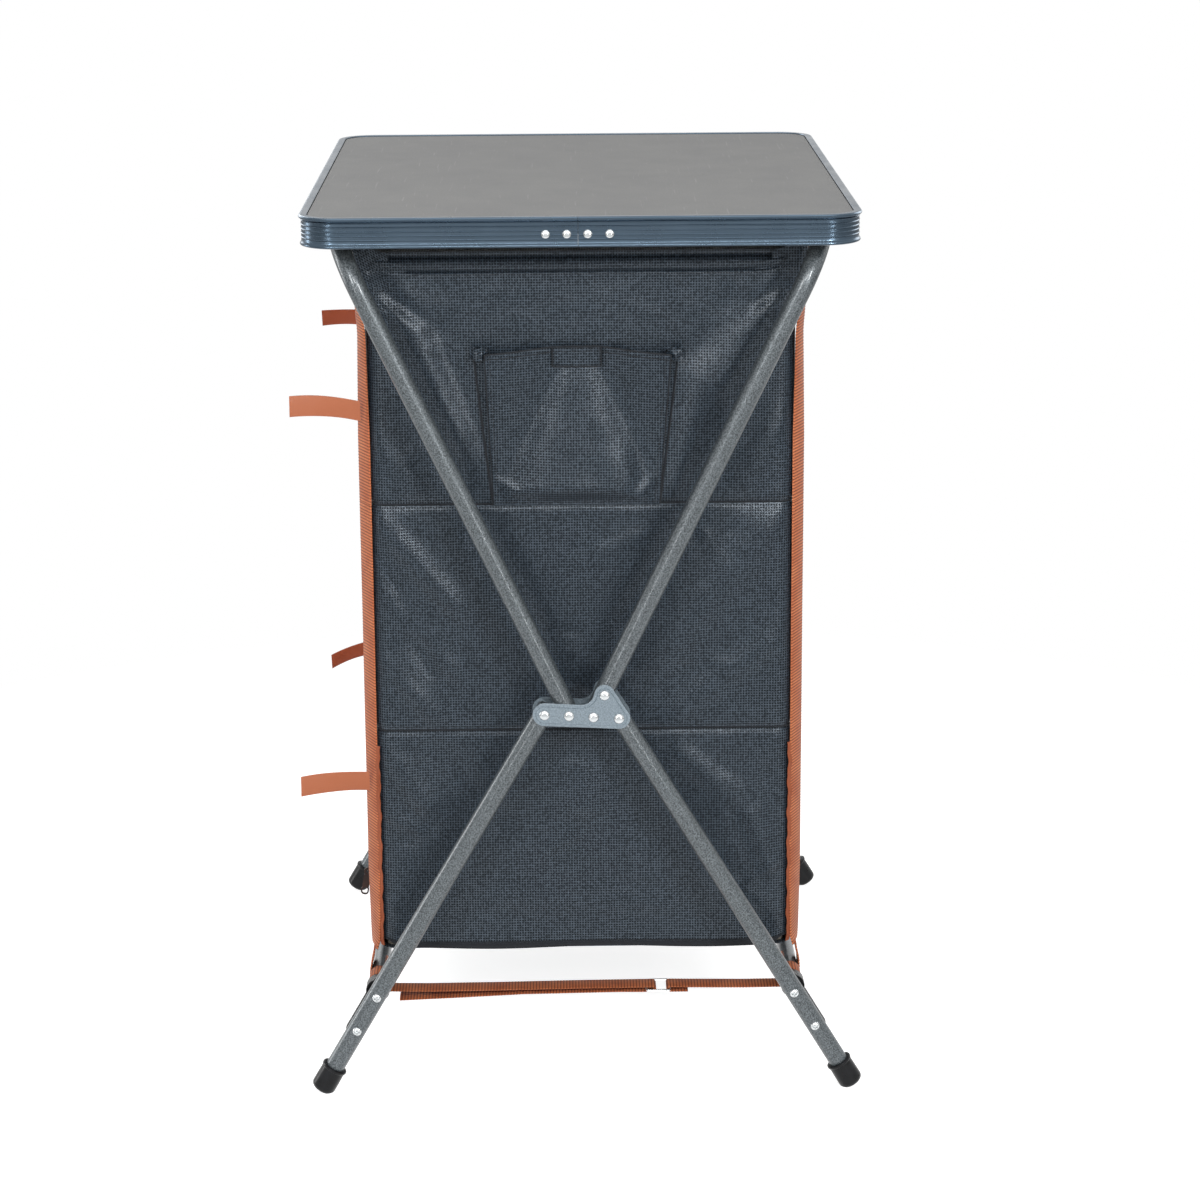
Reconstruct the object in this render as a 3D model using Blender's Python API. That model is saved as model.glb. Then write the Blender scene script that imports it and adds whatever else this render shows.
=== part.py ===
"""Folding camping cupboard: a clip-on table over a fabric cabinet, carried by a tube frame that folds flat.

The door side faces -Y, the long side of the table runs along X, and the feet stand on Z = 0.
"near" is the +X end and "far" the -X end. "outward" is the distance from the X-Z plane through the origin.
"""

import math

import bmesh
import bpy
from mathutils import Matrix, Vector

# Table
TABLE_LENGTH = 0.600
TABLE_DEPTH = 0.500
TABLE_HEIGHT = 0.840
TABLE_CORNER = 0.035
BAND_HEIGHT = 0.0275
BAND_SEAM_Y = -0.0025
SEAM_GAP = 0.0003
LIP_WIDTH = 0.008
BOARD_RECESS = 0.001
BOARD_THICKNESS = 0.010
BOARD_TONGUE_TOP = 0.0032
BOARD_TONGUE_INSET = 0.0053

# Frame tubes, in the plane of each end frame
END_FRAME_X = 0.265
TUBE_RADIUS = 0.009
TUBE_WALL = 0.0012
TUBE_TAIL = 0.006
BEND_RADIUS = 0.050
TOP_BAR_Z = 0.812
LOWER_BAR_RADIUS = 0.008
LOWER_BAR_Z = 0.097
LOWER_BAR_HALF = 0.2494

# Hub: rivet places (Y, Z) seen from the near end
HUB_LEG_FRONT = (-0.0365, 0.3755)
HUB_UPPER_FRONT = (-0.0140, 0.3745)
HUB_UPPER_REAR = (0.0085, 0.3730)
HUB_LEG_REAR = (0.0320, 0.3715)
HUB_LOCK = (0.0188, 0.3940)
HUB_BAR_HALF = 0.0110
HUB_BUMP_RADIUS = 0.0095
HUB_FILLET = 0.0120
HUB_PLATE = 0.0020
HUB_GAP = 0.0003
RIVET_HEAD = 0.0049
RIVET_DOME = 0.0026
RIVET_SHANK = 0.0025
RIVET_HOLE = 0.0028

# Angles from the upright, and the way that the folded frame leans
UPPER_FRONT_LEAN = math.radians(-25.0)
UPPER_REAR_LEAN = math.radians(25.54)
LEG_FRONT_LEAN = math.radians(210.0)
LEG_REAR_LEAN = math.radians(149.1)

# Feet
CAP_RADIUS = 0.0115
CAP_LENGTH = 0.027
CAP_ROUND = 0.005
CAP_SOCKET = 0.020
CAP_FLAT_DEPTH = 0.0008

# Fabric cabinet: outer half sizes, wall, and the heights of its tiers
CABINET_HALF_X = 0.215
CABINET_HALF_Y = 0.197
CABINET_BOTTOM = 0.122
SHELF_MIDDLE = 0.341
SHELF_UPPER = 0.560
CABINET_TOP = 0.784
FABRIC_WALL = 0.002
FABRIC_SHELF = 0.0015
SILL_TOP = 0.203
DOOR_OPENING_HALF_X = 0.178
DOOR_OPENING_TOP = 0.772
DOOR_LAP = 0.008
DOOR_THICKNESS = 0.002
SHELF_BOARD = 0.004
SHELF_BOARD_HALF_X = 0.208
SHELF_BOARD_HALF_Y = 0.1905

# Where the shelf boards lie in the folded frame, along and across the leaning tubes
FOLDED_ALONG = 0.592
FOLDED_ACROSS = {"lower": -0.154, "middle": -0.163, "upper": -0.172}

# Webbing, straps and ties
WEBBING_X = 0.200
WEBBING_WIDTH = 0.025
WEBBING_THICKNESS = 0.0016
WEBBING_OUTWARD = 0.2043
WEBBING_GAP = 0.0005
WEBBING_LOW_TURN = LOWER_BAR_RADIUS + WEBBING_GAP + WEBBING_THICKNESS / 2
WEBBING_STRAIGHT_LOW = 0.450
STRAP_X = 0.226
STRAP_WIDTH = 0.020
STRAP_THICKNESS = 0.0012
BUCKLE_Y = 0.0646
BUCKLE_Z = 0.0866
BUCKLE_PITCH = 0.006
BUCKLE_BAR = 0.001
BUCKLE_HALF_X = 0.014
TIE_WIDTH = 0.020
TIE_THICKNESS = 0.0012
TIE_REACH = 0.2608

CLEAR = 0.0003
ROUND_SIDES = 16
SMOOTH_ANGLE = math.radians(35)

# Colour (0 to 1, linear), roughness and metallic value of each material
FINISHES = {
    "laminate": ((0.262, 0.262, 0.258), 0.55, 0.0),
    "anodised_band": ((0.075, 0.110, 0.145), 0.35, 0.9),
    "coated_tube": ((0.085, 0.105, 0.115), 0.40, 0.6),
    "hub_steel": ((0.170, 0.215, 0.245), 0.45, 0.7),
    "bright_rivet": ((0.700, 0.710, 0.720), 0.20, 1.0),
    "black_plastic": ((0.010, 0.011, 0.013), 0.45, 0.0),
    "slate_fabric": ((0.033, 0.043, 0.052), 0.90, 0.0),
    "shelf_panel": ((0.160, 0.155, 0.145), 0.70, 0.0),
    "orange_webbing": ((0.460, 0.130, 0.050), 0.80, 0.0),
    "rust_ribbon": ((0.360, 0.085, 0.030), 0.50, 0.0),
    "brown_pull": ((0.030, 0.018, 0.014), 0.50, 0.0),
    "chrome_buckle": ((0.720, 0.720, 0.720), 0.15, 1.0),
}


def clear_scene():
    for old in list(bpy.data.objects):
        bpy.data.objects.remove(old, do_unlink=True)


def finish_material(name):
    found = bpy.data.materials.get(name)
    if found:
        return found
    colour, roughness, metallic = FINISHES[name]
    made = bpy.data.materials.new(name)
    made.use_nodes = True
    shader = made.node_tree.nodes["Principled BSDF"]
    shader.inputs["Base Color"].default_value = (*colour, 1.0)
    shader.inputs["Roughness"].default_value = roughness
    shader.inputs["Metallic"].default_value = metallic
    made.diffuse_color = (*colour, 1.0)
    return made


def body_empty(name, place):
    """An empty on the joint axis that carries the pieces of one moving body."""
    empty = bpy.data.objects.new(name, None)
    empty.empty_display_size = 0.03
    empty.location = place
    bpy.context.scene.collection.objects.link(empty)
    return empty


def add_piece(name, shape, finish, carrier=None):
    """Turns a bmesh in world coordinates into a named object under its carrier."""
    bmesh.ops.recalc_face_normals(shape, faces=shape.faces)
    origin = Vector(carrier.location) if carrier else Vector()
    bmesh.ops.translate(shape, vec=-origin, verts=shape.verts)
    mesh = bpy.data.meshes.new(name)
    shape.to_mesh(mesh)
    shape.free()
    mesh.shade_smooth()
    mesh.set_sharp_from_angle(angle=SMOOTH_ANGLE)
    mesh.materials.append(finish_material(finish))
    piece = bpy.data.objects.new(name, mesh)
    bpy.context.scene.collection.objects.link(piece)
    piece.parent = carrier
    return piece


def add_cutter(name, shape):
    cutter = add_piece(name, shape, "black_plastic")
    cutter.hide_render = True
    cutter.display_type = "WIRE"
    return cutter


def cut(piece, cutter, operation="DIFFERENCE"):
    boolean = piece.modifiers.new(cutter.name, "BOOLEAN")
    boolean.operation = operation
    boolean.solver = "EXACT"
    boolean.object = cutter


def direction(lean):
    """Unit vector in the Y-Z plane at this clock angle from the upright, towards +Y."""
    return Vector((0.0, math.sin(lean), math.cos(lean)))


def at(x, place):
    return Vector((x, place[0], place[1]))


def prism(outline, low, high, axis="X"):
    """A closed solid: an outline in the plane across the axis, extruded from low to high."""

    def point(a, b, c):
        return {"X": (c, a, b), "Y": (a, c, b), "Z": (a, b, c)}[axis]

    shape = bmesh.new()
    ring = [shape.verts.new(point(a, b, low)) for a, b in outline]
    face = shape.faces.new(ring)
    moved = bmesh.ops.extrude_face_region(shape, geom=[face])["geom"]
    corners = [item for item in moved if isinstance(item, bmesh.types.BMVert)]
    shift = Vector(point(0.0, 0.0, high - low))
    bmesh.ops.translate(shape, vec=shift, verts=corners)
    return shape


def box(low, high):
    outline = [(low[0], low[1]), (high[0], low[1]), (high[0], high[1]), (low[0], high[1])]
    return prism(outline, low[2], high[2], "Z")


def joined(*shapes):
    """Several bmeshes in one; the bodies in it stay apart."""
    whole = bmesh.new()
    for shape in shapes:
        part = bpy.data.meshes.new("part")
        shape.to_mesh(part)
        shape.free()
        whole.from_mesh(part)
        bpy.data.meshes.remove(part)
    return whole


def arc(centre, radius, start, end, steps):
    """Points on an arc in a plane, with angles in degrees."""
    turns = [math.radians(start + (end - start) * i / steps) for i in range(steps + 1)]
    return [(centre[0] + radius * math.cos(t), centre[1] + radius * math.sin(t)) for t in turns]


def bridge(shape, rings, closed):
    pairs = list(zip(rings, rings[1:] + rings[:1])) if closed else list(zip(rings, rings[1:]))
    for first, second in pairs:
        for i in range(len(first)):
            j = (i + 1) % len(first)
            shape.faces.new((first[i], first[j], second[j], second[i]))


def round_tube(path, radius, bore, sides=ROUND_SIDES):
    """An open-ended tube along a path of points."""
    shape = bmesh.new()
    outer, inner = [], []
    side = Vector((1.0, 0.0, 0.0))
    for i, place in enumerate(path):
        before = path[max(i - 1, 0)]
        after = path[min(i + 1, len(path) - 1)]
        along = (after - before).normalized()
        if i == 0 and abs(along.x) > 0.9:
            side = Vector((0.0, 1.0, 0.0))
        side = (side - along * side.dot(along)).normalized()
        across = along.cross(side)
        turns = [2 * math.pi * k / sides for k in range(sides)]
        rays = [side * math.cos(t) + across * math.sin(t) for t in turns]
        outer.append([shape.verts.new(place + ray * radius) for ray in rays])
        inner.append([shape.verts.new(place + ray * bore) for ray in rays])
    bridge(shape, outer, False)
    bridge(shape, inner, False)
    bridge(shape, [outer[0], inner[0]], False)
    bridge(shape, [outer[-1], inner[-1]], False)
    return shape


def turned(profile, base, axis, sides=ROUND_SIDES):
    """A turned solid. Each profile point is (distance along the axis, radius); both ends lie on the axis."""
    shape = bmesh.new()
    axis = Vector(axis).normalized()
    side = axis.orthogonal().normalized()
    points = [shape.verts.new(base + axis * along + side * radius) for along, radius in profile]
    edges = [shape.edges.new(pair) for pair in zip(points, points[1:])]
    bmesh.ops.spin(shape, geom=points + edges, cent=base, axis=axis, angle=2 * math.pi, steps=sides)
    bmesh.ops.remove_doubles(shape, verts=shape.verts, dist=1e-6)
    return shape


def ribbon(path, thickness):
    """The outline of a flat band seen edge-on along a path of plane points."""
    left, right = [], []
    for i, place in enumerate(path):
        before = Vector(path[max(i - 1, 0)])
        after = Vector(path[min(i + 1, len(path) - 1)])
        along = (after - before).normalized()
        across = Vector((-along.y, along.x)) * (thickness / 2)
        left.append(tuple(Vector(place) + across))
        right.append(tuple(Vector(place) - across))
    return left + right[::-1]


def rounded_rectangle(half_x, half_y, radius, steps=6):
    outline = []
    corners = ((1, 1, 0), (-1, 1, 90), (-1, -1, 180), (1, -1, 270))
    for sign_x, sign_y, start in corners:
        centre = (sign_x * (half_x - radius), sign_y * (half_y - radius))
        outline += arc(centre, radius, start, start + 90, steps)
    return outline


def tabletop(carrier):
    """Laminated board with a tongue all round, which sits under the lip of the edge band."""
    half_x, half_y = TABLE_LENGTH / 2, TABLE_DEPTH / 2
    levels = (
        (TABLE_HEIGHT - BOARD_RECESS - BOARD_THICKNESS, BOARD_TONGUE_INSET),
        (TABLE_HEIGHT - BOARD_TONGUE_TOP, BOARD_TONGUE_INSET),
        (TABLE_HEIGHT - BOARD_TONGUE_TOP, LIP_WIDTH + CLEAR),
        (TABLE_HEIGHT - BOARD_RECESS, LIP_WIDTH + CLEAR),
    )
    shape = bmesh.new()
    rings = []
    for height, inset in levels:
        outline = rounded_rectangle(half_x - inset, half_y - inset, TABLE_CORNER - inset)
        rings.append([shape.verts.new((x, y, height)) for x, y in outline])
    bridge(shape, rings, False)
    shape.faces.new(rings[0][::-1])
    shape.faces.new(rings[-1])
    add_piece("tabletop_board", shape, "laminate", carrier)


def edge_band(carrier):
    """Extruded edge strip, bent round the board and butted at one seam in the near short side."""
    profile = [
        (0.0010, 0.0), (0.0072, 0.0), (0.0080, 0.0008), (0.0080, 0.0022), (0.0050, 0.0028),
        (0.0050, 0.0113), (0.0130, 0.0113), (0.0130, 0.0128), (0.0050, 0.0128), (0.0050, 0.0260),
        (0.0045, BAND_HEIGHT), (0.0022, BAND_HEIGHT), (0.0014, 0.0265), (0.0014, 0.0250),
        (0.0030, 0.0228), (0.0030, 0.0045), (0.0006, 0.0032), (0.0, 0.0020), (0.0, 0.0008),
    ]
    half_x, half_y = TABLE_LENGTH / 2, TABLE_DEPTH / 2
    outline = rounded_rectangle(half_x, half_y, TABLE_CORNER)
    normals = [(math.cos(math.radians(s + 15 * i)), math.sin(math.radians(s + 15 * i)))
               for s in (0, 90, 180, 270) for i in range(7)]
    start = (half_x, BAND_SEAM_Y + SEAM_GAP / 2)
    end = (half_x, BAND_SEAM_Y - SEAM_GAP / 2)
    route = [(start, (1.0, 0.0))] + list(zip(outline, normals)) + [(end, (1.0, 0.0))]
    shape = bmesh.new()
    rings = []
    for (x, y), (nx, ny) in route:
        rings.append([shape.verts.new((x - nx * d, y - ny * d, TABLE_HEIGHT - z)) for d, z in profile])
    bridge(shape, rings, False)
    shape.faces.new(rings[0])
    shape.faces.new(rings[-1][::-1])
    add_piece("table_edge_band", shape, "anodised_band", carrier)


def table_hook(name, sign_x, sign_y, carrier):
    """Moulded hook under the board: it lies on a top bar and grips it from outside."""
    bar_y = top_bar_outward(sign_y)
    top = TABLE_HEIGHT - BOARD_RECESS - BOARD_THICKNESS - CLEAR
    reach = TUBE_RADIUS + 0.0004
    saddle = [(bar_y + reach * math.cos(t), TOP_BAR_Z + reach * math.sin(t))
              for t in (math.radians(90), math.radians(60), math.radians(30), 0.0)]
    outline = [(bar_y - 0.015, top), (bar_y - 0.015, saddle[0][1])] + saddle
    outline += [(bar_y + reach, TOP_BAR_Z - 0.008), (bar_y + reach + 0.001, TOP_BAR_Z - 0.009)]
    outline += [(bar_y + 0.0134, TOP_BAR_Z - 0.009), (bar_y + 0.0134, top)]
    centre, half = sign_x * 0.150, 0.018
    shape = prism([(sign_y * y, z) for y, z in outline], centre - half, centre + half)
    add_piece(name, shape, "black_plastic", carrier)


def top_bar_reach(hub, lean):
    """Distance from the hub rivet to the top bar along an upper tube."""
    return (TOP_BAR_Z - hub[1]) / math.cos(lean)


def top_bar_outward(sign_y):
    hub, lean = (HUB_UPPER_REAR, UPPER_REAR_LEAN) if sign_y > 0 else (HUB_UPPER_FRONT, UPPER_FRONT_LEAN)
    return abs(hub[0] + top_bar_reach(hub, lean) * math.sin(lean))


def upper_frame(name, hub, lean, carrier):
    """One U of bent tube: two side tubes and the top bar that they bend into."""
    along = direction(lean)
    reach = top_bar_reach(hub, lean)
    path = [at(END_FRAME_X, hub) - along * TUBE_TAIL]
    for i in range(7):
        turn = math.radians(15 * i)
        inward = BEND_RADIUS * (1 - math.cos(turn))
        up = reach - BEND_RADIUS + BEND_RADIUS * math.sin(turn)
        path.append(at(END_FRAME_X - inward, hub) + along * up)
    path += [Vector((-point.x, point.y, point.z)) for point in reversed(path)]
    shape = round_tube(path, TUBE_RADIUS, TUBE_RADIUS - TUBE_WALL)
    return add_piece(name, shape, "coated_tube", carrier)


def leg_length(hub, lean):
    """Length from the hub rivet to the end of the foot cap, so that a small flat of the cap meets the floor."""
    tilt = abs(math.pi - lean)
    lowest = CAP_ROUND * math.cos(tilt) + (CAP_RADIUS - CAP_ROUND) * math.sin(tilt) - CAP_ROUND
    return (hub[1] - lowest + CAP_FLAT_DEPTH) / math.cos(tilt)


def leg(name, x, hub, lean, carrier):
    along = direction(lean)
    end = leg_length(hub, lean) - (CAP_LENGTH - CAP_SOCKET) - CLEAR
    path = [at(x, hub) - along * TUBE_TAIL, at(x, hub) + along * end]
    shape = round_tube(path, TUBE_RADIUS, TUBE_RADIUS - TUBE_WALL)
    return add_piece(name, shape, "coated_tube", carrier)


def foot_cap(name, x, hub, lean, floor, carrier):
    """Moulded cup over the end of a leg, with a rim at its mouth and a rounded sole."""
    along = direction(lean)
    base = at(x, hub) + along * (leg_length(hub, lean) - CAP_LENGTH)
    bore = TUBE_RADIUS + CLEAR
    sole = CAP_LENGTH - CAP_ROUND
    profile = [(CAP_SOCKET, 0.0), (CAP_SOCKET, bore), (0.0, bore), (0.0, CAP_RADIUS + 0.0004),
               (0.003, CAP_RADIUS + 0.0004), (0.0038, CAP_RADIUS)]
    for turn in (0, 30, 60, 90):
        t = math.radians(turn)
        radius = CAP_RADIUS - CAP_ROUND + CAP_ROUND * math.cos(t)
        profile.append((sole + CAP_ROUND * math.sin(t), radius))
    profile.append((CAP_LENGTH, 0.0))
    cap = add_piece(name, turned(profile, base, along), "black_plastic", carrier)
    cut(cap, floor)


def lower_bar_place(hub, lean):
    """(Y, Z) of the lower bar, on the leg's own line."""
    run = (hub[1] - LOWER_BAR_Z) / abs(math.cos(lean))
    return (hub[0] + run * math.sin(lean), LOWER_BAR_Z)


def lower_bar(name, hub, lean, carrier):
    place = lower_bar_place(hub, lean)
    path = [at(-LOWER_BAR_HALF, place), at(LOWER_BAR_HALF, place)]
    shape = round_tube(path, LOWER_BAR_RADIUS, LOWER_BAR_RADIUS - TUBE_WALL)
    add_piece(name, shape, "coated_tube", carrier)


def bar_connector(name, side, hub, lean, carrier):
    """Moulded end piece: a plate screwed along the leg, with a socket for the lower bar."""
    place = lower_bar_place(hub, lean)
    along = direction(lean)
    plate_out = END_FRAME_X - TUBE_RADIUS - CLEAR
    plate_in = plate_out - 0.0055
    centre = at(side * (plate_in + plate_out) / 2, place) + along * 0.019
    plate = bmesh.new()
    bmesh.ops.create_cube(plate, size=1.0)
    turn = Matrix.Rotation(-lean, 4, "X")
    size = Matrix.Diagonal((0.0055, 0.017, 0.066, 1.0))
    bmesh.ops.transform(plate, matrix=Matrix.Translation(centre) @ turn @ size, verts=plate.verts)
    socket_length = 0.0155
    socket = turned(
        [(0.0, 0.0), (0.0, 0.0112), (socket_length - 0.001, 0.0112), (socket_length, 0.0102), (socket_length, 0.0)],
        at(side * (plate_out - 0.0002), place), (-side, 0.0, 0.0),
    )
    hollow = turned(
        [(0.0, 0.0), (0.0, LOWER_BAR_RADIUS + CLEAR), (0.030, LOWER_BAR_RADIUS + CLEAR), (0.030, 0.0)],
        at(side * (LOWER_BAR_HALF + CLEAR), place), (-side, 0.0, 0.0),
    )
    connector = add_piece(name, plate, "black_plastic", carrier)
    cut(connector, add_cutter(name + "_socket", socket), "UNION")
    cut(connector, add_cutter(name + "_hollow", hollow))


def hub_outline():
    """Straight bar over the leg and tube rivets, with a bump round the locking rivet."""
    left, right, lock = HUB_LEG_FRONT, HUB_LEG_REAR, HUB_LOCK
    tilt = math.degrees(math.atan2(right[1] - left[1], right[0] - left[0]))
    outline = arc(left, HUB_BAR_HALF, 270 + tilt, 90 + tilt, 8)
    bump_side = (lock[0] - HUB_BUMP_RADIUS, lock[1] - 0.001)
    along = Vector(right) - Vector(left)
    top_start = Vector(left) + along.normalized().orthogonal() * 0.0
    share = (bump_side[0] - HUB_FILLET - top_start.x) / along.x
    base = top_start + along * share
    fillet_centre = (base.x, base.y + HUB_BAR_HALF + HUB_FILLET)
    outline += arc(fillet_centre, HUB_FILLET, 270, 345, 4)
    outline += arc(lock, HUB_BUMP_RADIUS, 165, 20, 7)
    outline += arc(right, HUB_BAR_HALF * 0.95, 20, -90 + tilt, 6)
    return outline[::-1]


def hub_plates(holes):
    outline = hub_outline()
    inner = END_FRAME_X - TUBE_RADIUS - HUB_GAP
    outer = END_FRAME_X + TUBE_RADIUS + HUB_GAP
    spans = {"inner": (inner - HUB_PLATE, inner), "outer": (outer, outer + HUB_PLATE)}
    for end, side in (("near", 1), ("far", -1)):
        for layer, (low, high) in spans.items():
            ends = sorted((side * low, side * high))
            plate = add_piece(f"hub_plate_{end}_{layer}", prism(outline, *ends), "hub_steel")
            cut(plate, holes)


def rivet(name, side, place):
    """A solid rivet: domed head outside, shank through plates and tube, set head inside."""
    face = END_FRAME_X + TUBE_RADIUS + HUB_GAP + HUB_PLATE + 0.0002
    grip = 2 * (face - END_FRAME_X)
    profile = [(-RIVET_DOME, 0.0)]
    for turn in (30, 60, 90):
        t = math.radians(turn)
        profile.append((-RIVET_DOME * math.cos(t), RIVET_HEAD * math.sin(t)))
    profile += [(0.0, RIVET_SHANK), (grip, RIVET_SHANK), (grip, RIVET_HEAD * 0.85),
                (grip + RIVET_DOME * 0.6, RIVET_HEAD * 0.6), (grip + RIVET_DOME * 0.8, 0.0)]
    shape = turned(profile, at(side * face, place), (-side, 0.0, 0.0), 12)
    add_piece(name, shape, "bright_rivet")


def rivet_holes():
    """One cutter for every rivet hole through plates and tubes, at both ends."""
    reach = END_FRAME_X + 0.030
    drills = []
    for place in (HUB_LEG_FRONT, HUB_UPPER_FRONT, HUB_UPPER_REAR, HUB_LEG_REAR, HUB_LOCK):
        profile = [(0.0, 0.0), (0.0, RIVET_HOLE), (2 * reach, RIVET_HOLE), (2 * reach, 0.0)]
        drills.append(turned(profile, at(-reach, place), (1.0, 0.0, 0.0), 12))
    return add_cutter("rivet_holes", joined(*drills))


def cabinet_tier(name, low, high, carrier, sill=None, roof=None):
    """One tier of the sewn cabinet: floor and walls, open in front behind the doors."""
    x, y = CABINET_HALF_X, CABINET_HALF_Y
    floor = FABRIC_WALL if sill else FABRIC_SHELF
    top_of_room = high - FABRIC_WALL if roof else high + 0.01
    tier = add_piece(name, box((-x, -y, low), (x, y, high)), "slate_fabric", carrier)
    room = box((FABRIC_WALL - x, FABRIC_WALL - y, low + floor), (x - FABRIC_WALL, y - FABRIC_WALL, top_of_room))
    doorway_low = sill or low + floor
    doorway_high = roof or high + 0.01
    half = DOOR_OPENING_HALF_X
    doorway = box((-half, -y - 0.01, doorway_low), (half, 0.0, doorway_high))
    cut(tier, add_cutter(name + "_room", room))
    cut(tier, add_cutter(name + "_doorway", doorway))


def shelf_panel(name, floor_top, carrier):
    low = floor_top + CLEAR
    x, y = SHELF_BOARD_HALF_X, SHELF_BOARD_HALF_Y
    outline = rounded_rectangle(x, y, 0.008, 3)
    add_piece(name, prism(outline, low, low + SHELF_BOARD, "Z"), "shelf_panel", carrier)


def door_hinge_x():
    return DOOR_OPENING_HALF_X + DOOR_LAP


def door(name, side, carrier):
    """Zipped door flap that hangs on the cabinet's front edge and closes at the middle."""
    back = -CABINET_HALF_Y - CLEAR
    ends = sorted((side * door_hinge_x(), side * CLEAR))
    low, high = SILL_TOP + 0.002, DOOR_OPENING_TOP + 0.008
    shape = box((ends[0], back - DOOR_THICKNESS, low), (ends[1], back, high))
    add_piece(name, shape, "slate_fabric", carrier)


def zip_slider(name, side, carrier):
    """Slider on the sill zip at the closed end, with its pull tab hanging from it."""
    back = -CABINET_HALF_Y - CLEAR - DOOR_THICKNESS - CLEAR
    x = side * 0.183
    slider = box((x - 0.004, back - 0.0045, 0.193), (x + 0.004, back, 0.2045))
    pull = box((x - 0.0008, back - 0.0095, 0.172), (x + 0.0008, back - 0.0030, 0.200))
    piece = add_piece(name, slider, "brown_pull", carrier)
    cut(piece, add_cutter(name + "_pull", pull), "UNION")


def webbing_outward(height):
    """Outward distance of the front webbing's centre line between the lower bar and the upper tie."""
    foot = abs(lower_bar_place(HUB_LEG_FRONT, LEG_FRONT_LEAN)[0]) + WEBBING_LOW_TURN
    share = min((height - LOWER_BAR_Z) / (WEBBING_STRAIGHT_LOW - LOWER_BAR_Z), 1.0)
    return foot + (WEBBING_OUTWARD - foot) * share


def corner_webbing(name, side, sign_y):
    """Webbing that hangs a cabinet corner from the top bar and holds it down to the lower bar."""
    hub, lean = (HUB_LEG_REAR, LEG_REAR_LEAN) if sign_y > 0 else (HUB_LEG_FRONT, LEG_FRONT_LEAN)
    low_out = abs(lower_bar_place(hub, lean)[0])
    top_out = top_bar_outward(sign_y)
    top_radius = TUBE_RADIUS + WEBBING_GAP + WEBBING_THICKNESS / 2
    path = arc((low_out, LOWER_BAR_Z), WEBBING_LOW_TURN, 120, 360, 8)
    path += [(WEBBING_OUTWARD, WEBBING_STRAIGHT_LOW), (WEBBING_OUTWARD, 0.770)]
    path += arc((top_out, TOP_BAR_Z), top_radius, 190, -30, 8)
    outline = [(sign_y * y, z) for y, z in ribbon(path, WEBBING_THICKNESS)]
    low, high = side * WEBBING_X - WEBBING_WIDTH / 2, side * WEBBING_X + WEBBING_WIDTH / 2
    add_piece(name, prism(outline, low, high), "orange_webbing")


def strap_span(side):
    return side * STRAP_X - STRAP_WIDTH / 2, side * STRAP_X + STRAP_WIDTH / 2


def buckle_loop(bar_y):
    """Centre line of a strap that turns round one bar of the buckle, from above to below."""
    radius = 0.0023
    return arc((bar_y, BUCKLE_Z), radius, 90, -90, 6)


def strap_with_tail(name, side, carrier):
    """Front strap half: round the front lower bar, through the buckle and back as a free tail."""
    centre = lower_bar_place(HUB_LEG_FRONT, LEG_FRONT_LEAN)
    radius = LOWER_BAR_RADIUS + CLEAR + STRAP_THICKNESS / 2
    path = arc(centre, radius, 60, 270, 8)
    path += buckle_loop(BUCKLE_Y)
    path += [(-0.060, 0.0835), (-0.178, 0.0785)]
    shape = prism(ribbon(path, STRAP_THICKNESS), *strap_span(side))
    add_piece(name, shape, "orange_webbing", carrier)


def strap_with_buckle_end(name, side, carrier):
    """Rear strap half: round the rear lower bar and sewn back round the buckle's last bar."""
    centre = lower_bar_place(HUB_LEG_REAR, LEG_REAR_LEAN)
    radius = LOWER_BAR_RADIUS + CLEAR + STRAP_THICKNESS / 2
    path = arc(centre, radius, 120, -90, 8)
    turn = buckle_loop(BUCKLE_Y + BUCKLE_PITCH)
    path += [(2 * (BUCKLE_Y + BUCKLE_PITCH) - y, z) for y, z in turn]
    path += [(BUCKLE_Y + 0.026, BUCKLE_Z - 0.0023)]
    shape = prism(ribbon(path, STRAP_THICKNESS), *strap_span(side))
    add_piece(name, shape, "orange_webbing", carrier)


def buckle(name, side, carrier):
    """Flat frame with a middle bar."""
    half_y = BUCKLE_PITCH + BUCKLE_BAR
    x = side * STRAP_X
    low_z, high_z = BUCKLE_Z - BUCKLE_BAR, BUCKLE_Z + BUCKLE_BAR
    shape = box((x - BUCKLE_HALF_X, BUCKLE_Y - half_y, low_z), (x + BUCKLE_HALF_X, BUCKLE_Y + half_y, high_z))
    piece = add_piece(name, shape, "chrome_buckle", carrier)
    slot_half_x = STRAP_WIDTH / 2 + 0.001
    slots = []
    for sign in (-1, 1):
        low_y, high_y = sorted((BUCKLE_Y + sign * BUCKLE_BAR, BUCKLE_Y + sign * (BUCKLE_PITCH - BUCKLE_BAR)))
        slots.append(box((x - slot_half_x, low_y, low_z - 0.002), (x + slot_half_x, high_y, high_z + 0.002)))
    cut(piece, add_cutter(name + "_slots", joined(*slots)))


def side_pocket(carrier):
    """Open-topped pocket on the near side panel of the upper tier."""
    back = CABINET_HALF_X + CLEAR
    rings_at = (
        (0.556, 0.078, back, back + 0.0070),
        (0.703, 0.088, back, back + 0.0170),
        (0.703, 0.086, back + 0.0015, back + 0.0155),
        (0.560, 0.076, back + 0.0015, back + 0.0055),
    )
    shape = bmesh.new()
    rings = []
    for height, half_y, low_x, high_x in rings_at:
        corners = ((low_x, -half_y), (high_x, -half_y * 0.96), (high_x, half_y * 0.96), (low_x, half_y))
        rings.append([shape.verts.new((x, y, height)) for x, y in corners])
    bridge(shape, rings, False)
    shape.faces.new(rings[0])
    shape.faces.new(rings[-1])
    add_piece("side_pocket", shape, "slate_fabric", carrier)


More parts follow.
